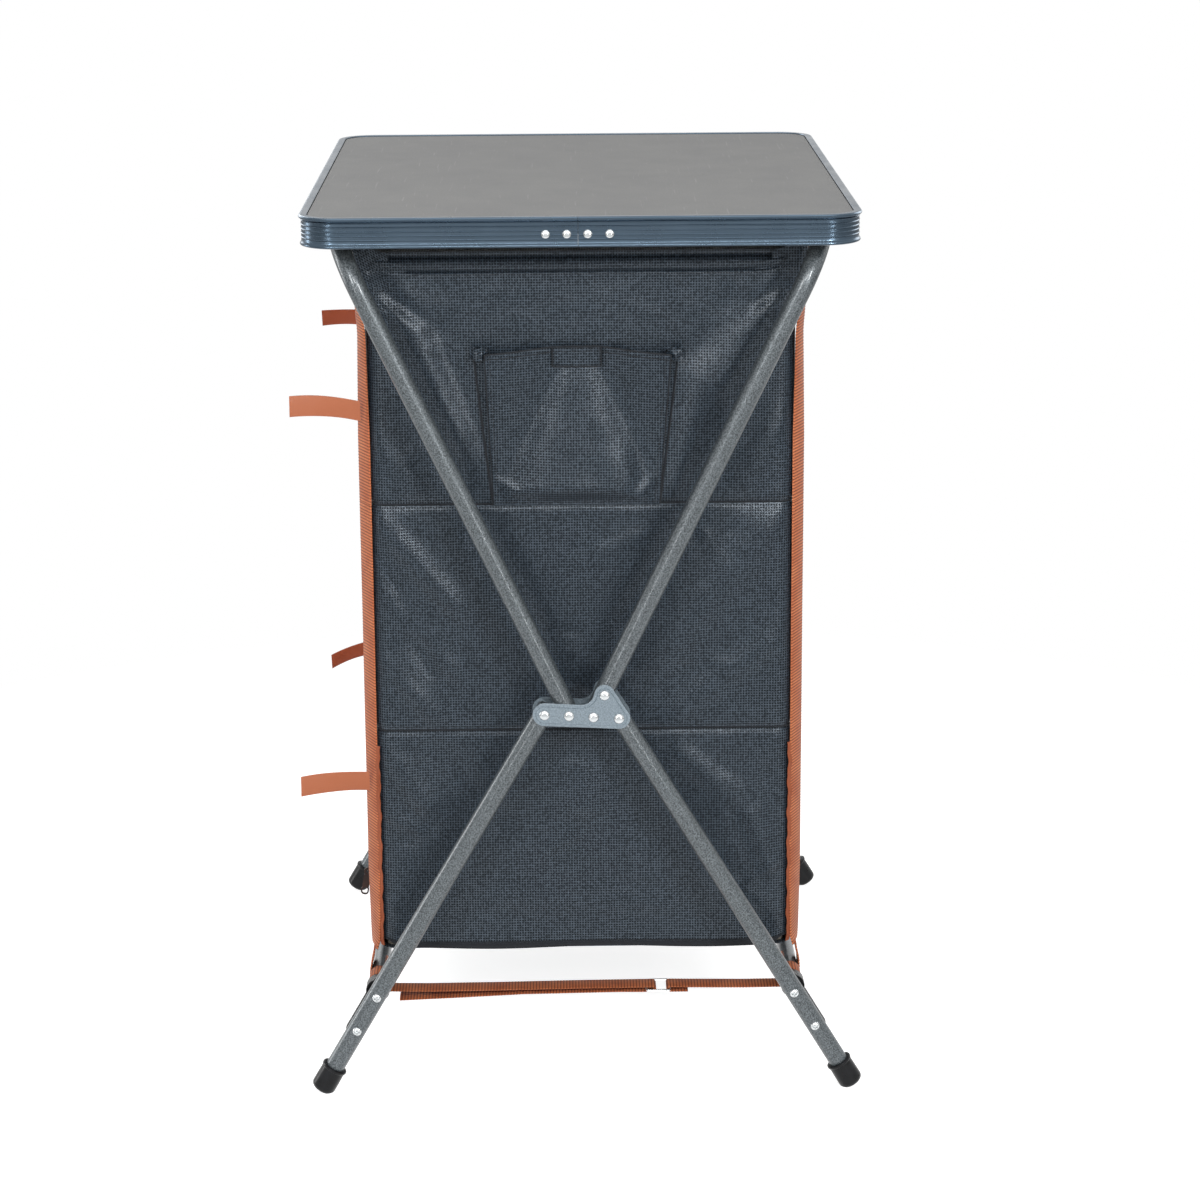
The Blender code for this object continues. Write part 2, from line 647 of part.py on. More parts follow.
def tie(name, side, heights, carrier):
    """Ribbon sewn to a front corner, standing forward from it."""
    start = -webbing_outward(heights[0]) - WEBBING_THICKNESS
    places = [start + (-TIE_REACH - start) * share for share in (0.0, 0.3, 0.7, 1.0)]
    upper = [(y, z + TIE_WIDTH / 2) for y, z in zip(places, heights)]
    lower = [(y, z - TIE_WIDTH / 2) for y, z in zip(places, heights)]
    x = side * (WEBBING_X + 0.008)
    shape = prism(upper + lower[::-1], x - TIE_THICKNESS / 2, x + TIE_THICKNESS / 2)
    add_piece(name, shape, "rust_ribbon", carrier)


def fold_pole(height, across):
    """Point that a shelf board turns about while it goes from level to leaning with the folded frame."""
    lean = UPPER_REAR_LEAN
    turn = math.pi / 2 - lean
    along = Vector((math.sin(lean), math.cos(lean)))
    over = Vector((math.cos(lean), -math.sin(lean)))
    start = Vector((0.0, height))
    end = along * FOLDED_ALONG + over * across
    middle = (start + end) / 2
    step = end - start
    return middle + Vector((-step.y, step.x)) * (0.5 / math.tan(turn / 2))


def main():
    clear_scene()
    holes = rivet_holes()
    floor = add_cutter("floor", box((-0.4, -0.4, -0.05), (0.4, 0.4, 0.0)))

    table = body_empty("table_lift", (0.0, 0.0, TABLE_HEIGHT))
    tabletop(table)
    edge_band(table)
    for end, sign_x in (("near", 1), ("far", -1)):
        for place, sign_y in (("front", -1), ("rear", 1)):
            table_hook(f"table_hook_{end}_{place}", sign_x, sign_y, table)

    front_frame = body_empty("front_frame_pivot", at(0.0, HUB_UPPER_FRONT))
    cut(upper_frame("front_upper_frame", HUB_UPPER_FRONT, UPPER_FRONT_LEAN, front_frame), holes)
    cut(upper_frame("rear_upper_frame", HUB_UPPER_REAR, UPPER_REAR_LEAN, None), holes)
    hub_plates(holes)
    rivets = {"leg_front": HUB_LEG_FRONT, "upper_front": HUB_UPPER_FRONT,
              "upper_rear": HUB_UPPER_REAR, "leg_rear": HUB_LEG_REAR}
    for label, place in rivets.items():
        rivet(f"hub_rivet_{label}_near", 1, place)
        rivet(f"hub_rivet_{label}_far", -1, place)

    for place, hub, lean in (("front", HUB_LEG_FRONT, LEG_FRONT_LEAN), ("rear", HUB_LEG_REAR, LEG_REAR_LEAN)):
        legs = body_empty(f"{place}_legs_pivot", at(0.0, hub))
        lower_bar(f"lower_bar_{place}", hub, lean, legs)
        for end, side in (("near", 1), ("far", -1)):
            cut(leg(f"leg_{place}_{end}", side * END_FRAME_X, hub, lean, legs), holes)
            foot_cap(f"foot_cap_{place}_{end}", side * END_FRAME_X, hub, lean, floor, legs)
            bar_connector(f"bar_connector_{place}_{end}", side, hub, lean, legs)
            if place == "front":
                strap_with_tail(f"strap_front_{end}", side, legs)
            else:
                strap_with_buckle_end(f"strap_rear_{end}", side, legs)
                buckle(f"strap_buckle_{end}", side, legs)

    floors = {
        "lower": CABINET_BOTTOM + FABRIC_WALL,
        "middle": SHELF_MIDDLE + FABRIC_SHELF,
        "upper": SHELF_UPPER + FABRIC_SHELF,
    }
    tiers = {}
    for label, floor_top in floors.items():
        board_middle = floor_top + CLEAR + SHELF_BOARD / 2
        pole = fold_pole(board_middle, FOLDED_ACROSS[label])
        tiers[label] = body_empty(f"tier_{label}_pole", (0.0, pole.x, pole.y))
        shelf_panel(f"shelf_board_{label}", floor_top, tiers[label])
    cabinet_tier("cabinet_lower", CABINET_BOTTOM, SHELF_MIDDLE - CLEAR, tiers["lower"], sill=SILL_TOP)
    cabinet_tier("cabinet_middle", SHELF_MIDDLE, SHELF_UPPER - CLEAR, tiers["middle"])
    cabinet_tier("cabinet_upper", SHELF_UPPER, CABINET_TOP, tiers["upper"], roof=DOOR_OPENING_TOP)
    side_pocket(tiers["upper"])

    for end, side in (("near", 1), ("far", -1)):
        hinge_place = (side * door_hinge_x(), -CABINET_HALF_Y - CLEAR - DOOR_THICKNESS / 2, 0.0)
        door(f"door_{end}", side, body_empty(f"door_{end}_hinge", hinge_place))
        zip_slider(f"zip_slider_{end}", side, body_empty(f"zip_{end}_track", (side * 0.183, -0.2, SILL_TOP)))
        for place, sign_y in (("front", -1), ("rear", 1)):
            corner_webbing(f"webbing_{place}_{end}", side, sign_y)
        tie(f"tie_upper_{end}", side, (0.648, 0.652, 0.654, 0.653), tiers["upper"])
        tie(f"tie_lower_{end}", side, (0.300, 0.298, 0.291, 0.282), tiers["lower"])


main()
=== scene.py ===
"""Looks of a folding camp cupboard: a metal-edged table over a fabric cabinet, in crossed steel tube.

Lengths are in metres. The doors face -Y, "near" is the +X end with the outside pocket and "far" the -X end.
"outward" is the distance from the X-Z plane through the origin, towards the doors or the rear.
"""

import math

import bmesh
import bpy
import numpy as np
from mathutils import Matrix, Vector, noise


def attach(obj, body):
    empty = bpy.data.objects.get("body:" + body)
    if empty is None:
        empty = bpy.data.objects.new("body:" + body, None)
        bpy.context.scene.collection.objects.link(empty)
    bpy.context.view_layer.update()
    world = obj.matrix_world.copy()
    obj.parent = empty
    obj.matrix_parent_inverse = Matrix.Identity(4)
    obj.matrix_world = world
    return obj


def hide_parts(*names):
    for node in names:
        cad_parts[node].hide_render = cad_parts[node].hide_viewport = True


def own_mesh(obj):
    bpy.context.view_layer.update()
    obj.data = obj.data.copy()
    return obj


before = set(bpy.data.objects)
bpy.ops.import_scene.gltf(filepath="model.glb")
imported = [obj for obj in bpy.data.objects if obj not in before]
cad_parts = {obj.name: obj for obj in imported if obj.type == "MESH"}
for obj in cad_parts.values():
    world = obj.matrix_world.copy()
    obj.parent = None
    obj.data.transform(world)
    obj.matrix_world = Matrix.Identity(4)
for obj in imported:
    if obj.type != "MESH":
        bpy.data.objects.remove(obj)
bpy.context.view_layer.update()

# Table
TABLE_HALF_X = 0.300
TABLE_HALF_Y = 0.250
TABLE_HEIGHT = 0.840
TABLE_CORNER = 0.035
BAND_HEIGHT = 0.0275
BAND_SEAM_Y = -0.0025
SEAM_GAP = 0.0004
SPLICE_RIVETS_Y = (-0.0311, -0.0124, 0.0060, 0.0253)
SPLICE_RIVET_Z = 0.8245
SPLICE_PLATE = (-0.003, 0.8196)

# Frame tubes
END_FRAME_X = 0.265
TUBE_RADIUS = 0.009
TUBE_BORE = 0.0078
TUBE_TAIL = 0.006
BEND_RADIUS = 0.050
TOP_BAR_Z = 0.812
LOWER_BAR_RADIUS = 0.008
LOWER_BAR_BORE = 0.0068
LOWER_BAR_Z = 0.097
LOWER_BAR_HALF = 0.2494
LEG_SCREWS = {"front": (0.3216, 0.3603), "rear": (0.3199, 0.3589)}

# Hub: rivet places (Y, Z), and the rivet and the lean from the upright of each upper tube and leg
HUB_LEG_FRONT = (-0.0365, 0.3755)
HUB_UPPER_FRONT = (-0.0140, 0.3745)
HUB_UPPER_REAR = (0.0085, 0.3730)
HUB_LEG_REAR = (0.0320, 0.3715)
HUB_LOCK = (0.0188, 0.3940)
HUB_BAR_HALF = 0.0110
HUB_BUMP_RADIUS = 0.0095
HUB_FILLET = 0.0120
PLATE_SPANS = {"inner": (0.2537, 0.2557), "outer": (0.2743, 0.2763)}
PLATE_SINK = 0.0011
PLATE_EDGE = 0.0003
RIVET_FACE = 0.2765
UPPERS = {"front": (HUB_UPPER_FRONT, math.radians(-25.0)), "rear": (HUB_UPPER_REAR, math.radians(25.54))}
LEGS = {"front": (HUB_LEG_FRONT, math.radians(210.0)), "rear": (HUB_LEG_REAR, math.radians(149.1))}

# Feet
CAP_RADIUS = 0.0115
CAP_LENGTH = 0.027
CAP_ROUND = 0.005
CAP_SOCKET = 0.020
CAP_FLAT_DEPTH = 0.0008

# Cabinet
CABINET_HALF_X = 0.215
CABINET_HALF_Y = 0.197
CABINET_CORNER = 0.016
CABINET_BOTTOM = 0.122
SHELF_MIDDLE = 0.341
SHELF_UPPER = 0.560
CABINET_TOP = 0.784
SILL_TOP = 0.203
DOORWAY_HALF = 0.178
DOORWAY_TOP = 0.772
DOOR_HINGE_X = 0.186
FRONT_SEAM_X = 0.181
HEM_RISE = 0.012
CLOTH = 0.0009
ZIP_Z = 0.1990

# Webbing, straps and ties
WEBBING_X = 0.2005
WEBBING_WIDTH = 0.025
WEBBING_THICKNESS = 0.0016
WEBBING_OUTWARD = 0.2008
WEBBING_TOP = 0.768
WEBBING_TWIST = math.radians(28)
STRAP_X = 0.226
STRAP_WIDTH = 0.020
STRAP_THICKNESS = 0.0012
BUCKLE_Y = 0.0646
BUCKLE_Z = 0.0866
BUCKLE_PITCH = 0.006
BUCKLE_OPENING = 0.0150
RIB_PITCH = 0.00145

ENDS = {"near": 1, "far": -1}
PLACES = {"front": -1, "rear": 1}
CORNERS = [(end, side, place, sign_y) for end, side in ENDS.items() for place, sign_y in PLACES.items()]
TIERS = {
    "lower": ("tier_lower", CABINET_BOTTOM, SHELF_MIDDLE),
    "middle": ("tier_middle", SHELF_MIDDLE, SHELF_UPPER),
    "upper": ("tier_upper", SHELF_UPPER, CABINET_TOP),
}
TOWARDS_DOORS = (0.0, -1.0, 0.0)
TOWARDS_NEAR = (1.0, 0.0, 0.0)
# A wave texture with this scale has one band in each metre.
WAVE_SCALE = 0.314159
MILLIMETRES = 1000


# Materials


def hex_colour(text):
    """Linear colour of an sRGB hex value such as 8d8d8c."""
    shares = [int(text[i:i + 2], 16) / 255 for i in (0, 2, 4)]
    linear = [c / 12.92 if c <= 0.04045 else ((c + 0.055) / 1.055) ** 2.4 for c in shares]
    return (*linear, 1.0)


def node(tree, kind, inputs=None, **settings):
    """Adds one node. An input's value is a number, a colour or another node's output."""
    made = tree.nodes.new(kind)
    for name, value in settings.items():
        setattr(made, name, value)
    for name, value in (inputs or {}).items():
        if isinstance(value, bpy.types.NodeSocket):
            tree.links.new(value, made.inputs[name])
        else:
            made.inputs[name].default_value = value
    return made


def maths(tree, operation, *values):
    return node(tree, "ShaderNodeMath", dict(enumerate(values)), operation=operation).outputs[0]


def spread(tree, value, low, high, to_low=0.0, to_high=1.0):
    """Maps the span from low to high to the other span, and holds it there."""
    mapped = node(tree, "ShaderNodeMapRange", {
        "Value": value, "From Min": low, "From Max": high, "To Min": to_low, "To Max": to_high})
    return mapped.outputs["Result"]


class Finish:
    """A material while it is built, with the uniform values of its shader set."""

    def __init__(self, name, **shader_inputs):
        self.material = bpy.data.materials.new(name)
        self.material.use_nodes = True
        self.tree = self.material.node_tree
        self.shader = self.tree.nodes["Principled BSDF"]
        for key, value in shader_inputs.items():
            self.shader.inputs[key.replace("_", " ")].default_value = value

    def place(self, **mapping):
        """Object coordinates in metres, turned or scaled where a mapping says so."""
        place = node(self.tree, "ShaderNodeTexCoord").outputs["Object"]
        if not mapping:
            return place
        return node(self.tree, "ShaderNodeMapping", {"Vector": place, **mapping}).outputs["Vector"]

    def cloth(self):
        """Places on the flat cloth in metres: across it and along it."""
        return node(self.tree, "ShaderNodeUVMap", uv_map="cloth").outputs["UV"]

    def clouds(self, scale, detail, place=None, **more):
        place = self.place() if place is None else place
        return node(self.tree, "ShaderNodeTexNoise", {
            "Vector": place, "Scale": scale, "Detail": detail, **more}).outputs["Fac"]

    def waves(self, place, pitch, axis, distortion=0.0, profile="SIN"):
        """Bands square to an axis, one in each pitch."""
        inputs = {"Vector": place, "Scale": WAVE_SCALE / pitch, "Distortion": distortion}
        made = node(self.tree, "ShaderNodeTexWave", inputs, wave_type="BANDS", bands_direction=axis,
                    wave_profile=profile)
        return made.outputs["Fac"]

    def spread(self, *values):
        return spread(self.tree, *values)

    def tone(self, factor, low, high):
        """A colour from low to high, each a hex value or another colour, as the factor goes from 0 to 1."""
        low, high = (hex_colour(end) if isinstance(end, str) else end for end in (low, high))
        return node(self.tree, "ShaderNodeMix", {0: factor, 6: low, 7: high}, data_type="RGBA").outputs[2]

    def done(self, colour, rough, height, strength, distance):
        """Links what varies over the surface; returns the material."""
        inputs = {"Height": height, "Strength": strength, "Distance": distance}
        normal = node(self.tree, "ShaderNodeBump", inputs).outputs["Normal"]
        for name, value in (("Base Color", colour), ("Roughness", rough), ("Normal", normal)):
            self.tree.links.new(value, self.shader.inputs[name])
        return self.material


def laminate_finish():
    """High-pressure laminate: dead flat, faintly mottled grey, satin, with hairline scuffs from use."""
    finish = Finish("grey high-pressure laminate", Specular_IOR_Level=0.16)
    cloud = finish.clouds(22.0, 5.0, Roughness=0.62)
    grit = finish.clouds(900.0, 2.0)
    scuff = finish.clouds(1.0, 3.0, finish.place(Rotation=(0.0, 0.0, 0.7), Scale=(14.0, 420.0, 1.0)))
    mottled = finish.tone(finish.spread(cloud, 0.3, 0.7), "717171", "7a7a79")
    speck = finish.tone(finish.spread(grit, 0.45, 0.75, 0.0, 0.22), mottled, "a6a6a4")
    worn = finish.tone(finish.spread(scuff, 0.66, 0.74, 0.0, 0.16), speck, "bcbcb8")
    return finish.done(worn, finish.spread(cloud, 0.3, 0.7, 0.61, 0.65), grit, 0.10, 0.0002)


def anodised_finish():
    """Extruded aluminium, anodised blue-grey: dark satin metal with faint draw lines along it."""
    finish = Finish("blue-grey anodised aluminium", Metallic=1.0)
    drawn = finish.clouds(1.0, 2.0, finish.place(Scale=(6.0, 6.0, 2600.0)))
    haze = finish.clouds(30.0, 4.0)
    tone = finish.tone(finish.spread(drawn, 0.3, 0.7), "42505c", "52606d")
    return finish.done(tone, finish.spread(haze, 0.3, 0.7, 0.24, 0.33), drawn, 0.12, 0.0001)


def powder_coat_finish(name, low, high, metallic, gloss):
    """Powder coat over steel: grey with a fine metallic fleck, satin, slightly orange-peeled."""
    finish = Finish(name, Metallic=metallic, Coat_Weight=0.4, Coat_Roughness=0.10)
    # The real fleck is about 0.2 mm; it is drawn at about 0.7 mm, so that it shows at this distance.
    fleck = finish.clouds(720.0, 4.0, Roughness=0.75)
    peel = finish.clouds(480.0, 2.0)
    tone = finish.tone(finish.spread(fleck, 0.40, 0.62), low, high)
    return finish.done(tone, finish.spread(fleck, 0.3, 0.7, gloss, gloss + 0.12), peel, 0.25, 0.0003)


def bright_metal_finish(name, low, high, rough):
    """Plated steel: bright, with a faint cloudiness where the plating is uneven."""
    finish = Finish(name, Metallic=1.0)
    cloud = finish.clouds(350.0, 4.0)
    tone = finish.tone(cloud, low, high)
    return finish.done(tone, finish.spread(cloud, 0.3, 0.7, rough, rough + 0.12), cloud, 0.06, 0.0002)


def moulded_finish(name, low, high, rough):
    """Moulded plastic: even colour, satin skin with a fine spark-eroded grain."""
    finish = Finish(name, Specular_IOR_Level=0.22)
    grain = finish.clouds(1500.0, 3.0)
    rubbed = finish.clouds(110.0, 4.0)
    tone = finish.tone(finish.spread(rubbed, 0.35, 0.7), low, high)
    return finish.done(tone, finish.spread(rubbed, 0.3, 0.7, rough, rough + 0.14), grain, 0.3, 0.00015)


def oxford_finish():
    """Coated polyester oxford: dark cloth with a fine grid of paler threads and a gloss that follows them."""
    finish = Finish("slate coated oxford cloth", Sheen_Weight=0.04, Sheen_Roughness=0.5,
                    Specular_Tint=hex_colour("e4ecf4"))
    tree = finish.tree
    cloth = finish.cloth()
    crossed = maths(tree, "MAXIMUM", *[finish.waves(cloth, 0.0025, axis) for axis in "XY"])
    grid = finish.spread(crossed, 0.45, 0.98)
    # The yarn is about 0.3 mm; it is drawn at 0.7 mm, so that it shows.
    yarn = maths(tree, "MAXIMUM", *[finish.waves(cloth, 0.0007, axis, 0.6) for axis in "XY"])
    cloud = finish.clouds(14.0, 5.0, Roughness=0.6)
    slub = finish.spread(finish.clouds(420.0, 3.0), 0.35, 0.65, 0.25, 0.85)
    threads = maths(tree, "MULTIPLY", grid, slub)
    base = finish.tone(finish.spread(cloud, 0.3, 0.72), "090c0f", "11161a")
    gloss = finish.spread(threads, 0.0, 0.6, 0.12, 0.78)
    tree.links.new(gloss, finish.shader.inputs["Specular IOR Level"])
    height = maths(tree, "MULTIPLY_ADD", yarn, 0.35, grid)
    rough = finish.spread(grid, 0.0, 1.0, 0.42, 0.32)
    return finish.done(finish.tone(threads, base, "394653"), rough, height, 0.32, 0.00022)


def webbing_finish(name, low, high, dark, sheen):
    """Woven webbing: raised weft ribs with painted shade in the valleys between them, and a slightly fuzzy
    surface.
    """
    finish = Finish(name, Sheen_Weight=sheen, Sheen_Roughness=0.4, Specular_IOR_Level=0.3)
    cloth = finish.cloth()
    rib = finish.waves(cloth, 2 * RIB_PITCH, "Y")
    thread = finish.waves(cloth, 0.0012, "X", 1.2)
    fuzz = finish.clouds(900.0, 3.0)
    wear = finish.clouds(45.0, 4.0)
    base = finish.tone(finish.spread(wear, 0.3, 0.7), low, high)
    # Painted shade: the colour goes to the dark value in the valleys between the ribs.
    valley_shaded = finish.tone(finish.spread(rib, 0.0, 0.65, 0.95, 0.0), base, dark)
    flecked = finish.tone(finish.spread(fuzz, 0.5, 0.8, 0.0, 0.3), valley_shaded, high)
    height = maths(finish.tree, "MULTIPLY_ADD", thread, 0.35, fuzz)
    return finish.done(flecked, finish.spread(fuzz, 0.3, 0.7, 0.62, 0.82), height, 0.4, 0.00025)


def satin_finish(name, low, high):
    """Satin ribbon: fine lengthwise threads that give a streaky gloss along the ribbon."""
    finish = Finish(name, Sheen_Weight=0.3, Sheen_Roughness=0.35, Specular_IOR_Level=0.5)
    cloth = finish.cloth()
    threads = finish.waves(cloth, 0.0008, "X", 0.8)
    weft = finish.waves(cloth, 0.0016, "Y", 0.4)
    tone = finish.tone(finish.spread(threads, 0.1, 0.9), low, high)
    return finish.done(tone, finish.spread(weft, 0.0, 1.0, 0.42, 0.58), threads, 0.25, 0.0002)


def tape_finish(name, low, high):
    """Woven tape: narrow, matt, with a fine herringbone that only shows close up."""
    finish = Finish(name, Sheen_Weight=0.12, Specular_IOR_Level=0.25)
    bone = finish.waves(finish.place(Rotation=(0.6, 0.6, 0.6)), 0.0014, "X", 1.5, "TRI")
    fuzz = finish.clouds(700.0, 3.0)
    tone = finish.tone(finish.spread(fuzz, 0.3, 0.7), low, high)
    return finish.done(tone, finish.spread(bone, 0.0, 1.0, 0.7, 0.88), bone, 0.35, 0.0003)


def pressed_board_finish():
    """Thin pressed board: grey-brown fibres laid every way, matt, a little paler where fibres lie on top."""
    finish = Finish("grey pressed fibreboard", Specular_IOR_Level=0.3)
    fibre = finish.clouds(1.0, 5.0, finish.place(Scale=(60.0, 520.0, 60.0)), Distortion=1.2)
    base = finish.tone(finish.clouds(25.0, 4.0), "625e57", "716c64")
    fibres = finish.tone(finish.spread(fibre, 0.5, 0.75, 0.0, 0.5), base, "8a857b")
    return finish.done(fibres, finish.spread(fibre, 0.3, 0.7, 0.72, 0.86), fibre, 0.25, 0.0003)


# Each finish with the slot of its pieces
FINISHES = {
    "laminate": (laminate_finish(), "laminate"),
    "band": (anodised_finish(), "anodised_band"),
    "tube": (powder_coat_finish("grey powder-coated steel", "2c3235", "70777b", 0.36, 0.32), "coated_tube"),
    "plate": (powder_coat_finish("blue-grey coated pressing", "6f7c85", "8e9ba4", 0.45, 0.26), "hub_steel"),
    "rivet": (bright_metal_finish("zinc-plated rivet steel", "b9bdbf", "d8dbdc", 0.16), "bright_rivet"),
    "chrome": (bright_metal_finish("chromed wire", "d5d7d8", "f2f3f3", 0.08), "chrome_buckle"),
    "plastic": (moulded_finish("black moulded polypropylene", "0c0d0f", "141518", 0.24), "black_plastic"),
    "pull": (moulded_finish("dark brown painted zinc", "2a1c18", "3a2822", 0.32), "brown_pull"),
    "coil": (moulded_finish("black nylon zip coil", "121316", "1b1d20", 0.42), "slate_fabric"),
    "cloth": (oxford_finish(), "slate_fabric"),
    # For the webbing and the strap, the third colour is the painted shade in the valleys between the ribs.
    "webbing": (webbing_finish("burnt orange polypropylene webbing", "b9633d", "d58053", "642e17", 0.15),
                "orange_webbing"),
    "ribbon": (satin_finish("rust satin ribbon", "99502e", "b16844"), "rust_ribbon"),
    # The far ties are the same rust ribbon, drawn darker and deeper as painted shade.
    "far ribbon in painted shade": (satin_finish("rust satin ribbon darkened as painted shade", "a33f17", "bb5524"), "rust_ribbon"),
    "dark tape": (tape_finish("black woven binding tape", "16191d", "20242a"), "slate_fabric"),
    "red tape": (tape_finish("rust woven binding tape", "8c4529", "a05635"), "orange_webbing"),
    "thread": (tape_finish("dark polyester thread", "1d2126", "2a2f35"), "slate_fabric"),
    "strap": (webbing_finish("brown-orange polypropylene webbing", "a05430", "b96c43", "562612", 0.10),
              "orange_webbing"),
    "board": (pressed_board_finish(), "shelf_panel"),
}


# Shapes


def direction(lean):
    return Vector((0.0, math.sin(lean), math.cos(lean)))


def at(x, place):
    return Vector((x, place[0], place[1]))


def arc(centre, radius, start, end, steps):
    """Points on an arc in a plane, with angles in degrees."""
    turns = [math.radians(start + (end - start) * i / steps) for i in range(steps + 1)]
    return [(centre[0] + radius * math.cos(t), centre[1] + radius * math.sin(t)) for t in turns]


def rounded_rectangle(half_x, half_y, radius, steps=12):
    outline = []
    for sign_x, sign_y, start in ((1, 1, 0), (-1, 1, 90), (-1, -1, 180), (1, -1, 270)):
        centre = (sign_x * (half_x - radius), sign_y * (half_y - radius))
        outline += arc(centre, radius, start, start + 90, steps)
    return outline


def inset_outline(outline, distance):
    """The closed outline moved inwards; it runs anticlockwise."""
    moved = []
    for i, here in enumerate(outline):
        before, after = Vector(outline[i - 1]), Vector(outline[(i + 1) % len(outline)])
        first = (Vector(here) - before).normalized()
        second = (after - Vector(here)).normalized()
        inward = Vector((-first.y - second.y, first.x + second.x)).normalized()
        stretch = max(inward.dot(Vector((-first.y, first.x))), 0.5)
        moved.append(tuple(Vector(here) + inward * (distance / stretch)))
    return moved


def bridge(shape, rings, closed=False):
    """Faces from ring to ring, and back to the first where the run is closed."""
    for first, second in zip(rings, rings[1:] + rings[:1] if closed else rings[1:]):
        for i in range(len(first)):
            j = (i + 1) % len(first)
            shape.faces.new((first[i], first[j], second[j], second[i]))


def close_ends(shape, rings):
    shape.faces.new(rings[0][::-1])
    shape.faces.new(rings[-1])


def lofted(rings):
    """A closed solid with flat ends through rings of as many points each."""
    shape = bmesh.new()
    made = [[shape.verts.new(point) for point in ring] for ring in rings]
    bridge(shape, made)
    close_ends(shape, made)
    return shape


def rays_along(path, sides, side=None, closed=False):
    """At each point of a path, rays of length 1 square to it, without twist."""
    count = len(path)
    for i in range(count):
        before = path[(i - 1) % count] if closed else path[max(i - 1, 0)]
        after = path[(i + 1) % count] if closed else path[min(i + 1, count - 1)]
        along = (after - before).normalized()
        side = along.orthogonal() if side is None else side
        side = (side - along * side.dot(along)).normalized()
        across = along.cross(side)
        turns = np.linspace(0, 2 * math.pi, sides, endpoint=False)
        yield [side * math.cos(t) + across * math.sin(t) for t in turns]


def tube(path, radius, bore, sides=32):
    """An open-ended tube along a path, with a wall and closed rims."""
    shape = bmesh.new()
    starts_sideways = abs((path[1] - path[0]).normalized().x) > 0.9
    side = Vector((0, 1, 0)) if starts_sideways else Vector((1, 0, 0))
    outer, inner = [], []
    for place, rays in zip(path, rays_along(path, sides, side)):
        outer.append([shape.verts.new(place + ray * radius) for ray in rays])
        inner.append([shape.verts.new(place + ray * bore) for ray in rays])
    for rings in (outer, inner, [outer[0], inner[0]], [outer[-1], inner[-1]]):
        bridge(shape, rings)
    return shape


def wire(path, radius, sides=12, closed=False):
    """A solid round wire along a path; closed joins its ends."""
    shape = bmesh.new()
    rings = [[shape.verts.new(place + ray * radius) for ray in rays]
             for place, rays in zip(path, rays_along(path, sides, closed=closed))]
    bridge(shape, rings, closed)
    if not closed:
        close_ends(shape, rings)
    return shape


def turned(profile, base, axis, sides=40):
    """A turned solid from (distance along the axis, radius) points; both ends lie on the axis."""
    shape = bmesh.new()
    axis = Vector(axis).normalized()
    side = axis.orthogonal().normalized()
    points = [shape.verts.new(Vector(base) + axis * along + side * radius) for along, radius in profile]
    edges = [shape.edges.new(pair) for pair in zip(points, points[1:])]
    bmesh.ops.spin(shape, geom=points + edges, cent=Vector(base), axis=axis, angle=2 * math.pi, steps=sides)
    bmesh.ops.remove_doubles(shape, verts=shape.verts, dist=1e-6)
    return shape


def joined(*shapes):
    whole = bmesh.new()
    for shape in shapes:
        part = bpy.data.meshes.new("part")
        shape.to_mesh(part)
        shape.free()
        whole.from_mesh(part)
        bpy.data.meshes.remove(part)
    return whole


def shade(mesh, sharper_than):
    """Smooth shading but for edges sharper than this many degrees."""
    mesh.shade_smooth()
    mesh.set_sharp_from_angle(angle=math.radians(sharper_than))
    return mesh


def mesh_of(name, shape, finish, sharper_than=40):
    """A mesh from a bmesh, with its faces outwards."""
    bmesh.ops.recalc_face_normals(shape, faces=shape.faces)
    mesh = bpy.data.meshes.new(name)
    shape.to_mesh(mesh)
    shape.free()
    mesh.materials.append(FINISHES[finish][0])
    return shade(mesh, sharper_than)


def linked(name, data):
    """A new object in the scene."""
    made = bpy.data.objects.new(name, data)
    bpy.context.scene.collection.objects.link(made)
    return made


def add_piece(name, made, finish, body, replaces=(), flatten=None):
    """Places a finished piece on its body. flatten, an (axis, anchor) pair, only gives the piece a mesh of
    its own.
    """
    piece = linked(name, made if isinstance(made, bpy.types.Mesh) else mesh_of(name, made, finish))
    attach(piece, body)
    if replaces:
        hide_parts(*replaces)
    if flatten:
        axis, anchor = flatten
        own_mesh(piece)
        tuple(axis)
        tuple(anchor)
    return piece


def flat_anchor(label):
    return ((0, 0, 1), (0, 0, TIERS[label][1]))


def sewn(name, made, finish, label, replaces=()):
    """Adds a piece that belongs to one level of the cabinet."""
    return add_piece(name, made, finish, TIERS[label][0], replaces, flat_anchor(label))


def coat_solid(name, finish):
    """Gives its finish to a solid of the frame that is shown as it is."""
    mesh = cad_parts[name].data
    mesh.materials.clear()
    mesh.materials.append(FINISHES[finish][0])


def evaluated_mesh(host):
    """The host's mesh with its modifiers applied; the host is removed."""
    bpy.context.view_layer.update()
    graph = bpy.context.evaluated_depsgraph_get()
    result = bpy.data.meshes.new_from_object(host.evaluated_get(graph), depsgraph=graph)
    old = host.data
    bpy.data.objects.remove(host)
    bpy.data.meshes.remove(old)
    return result


def grid_of(rows, columns):
    """Corner numbers of the four-sided faces of a grid, one face in each row."""
    index = np.arange(rows * columns).reshape(rows, columns)
    corners = [index[:-1, :-1], index[:-1, 1:], index[1:, 1:], index[1:, :-1]]
    return np.stack(corners, axis=-1).reshape(-1, 4)


def cloth_map(mesh, places, corners):
    """Stores the places on the flat cloth, for the textures."""
    layer = mesh.uv_layers.new(name="cloth")
    layer.data.foreach_set("uv", places.reshape(-1, 2)[corners].astype(np.float32).reshape(-1))


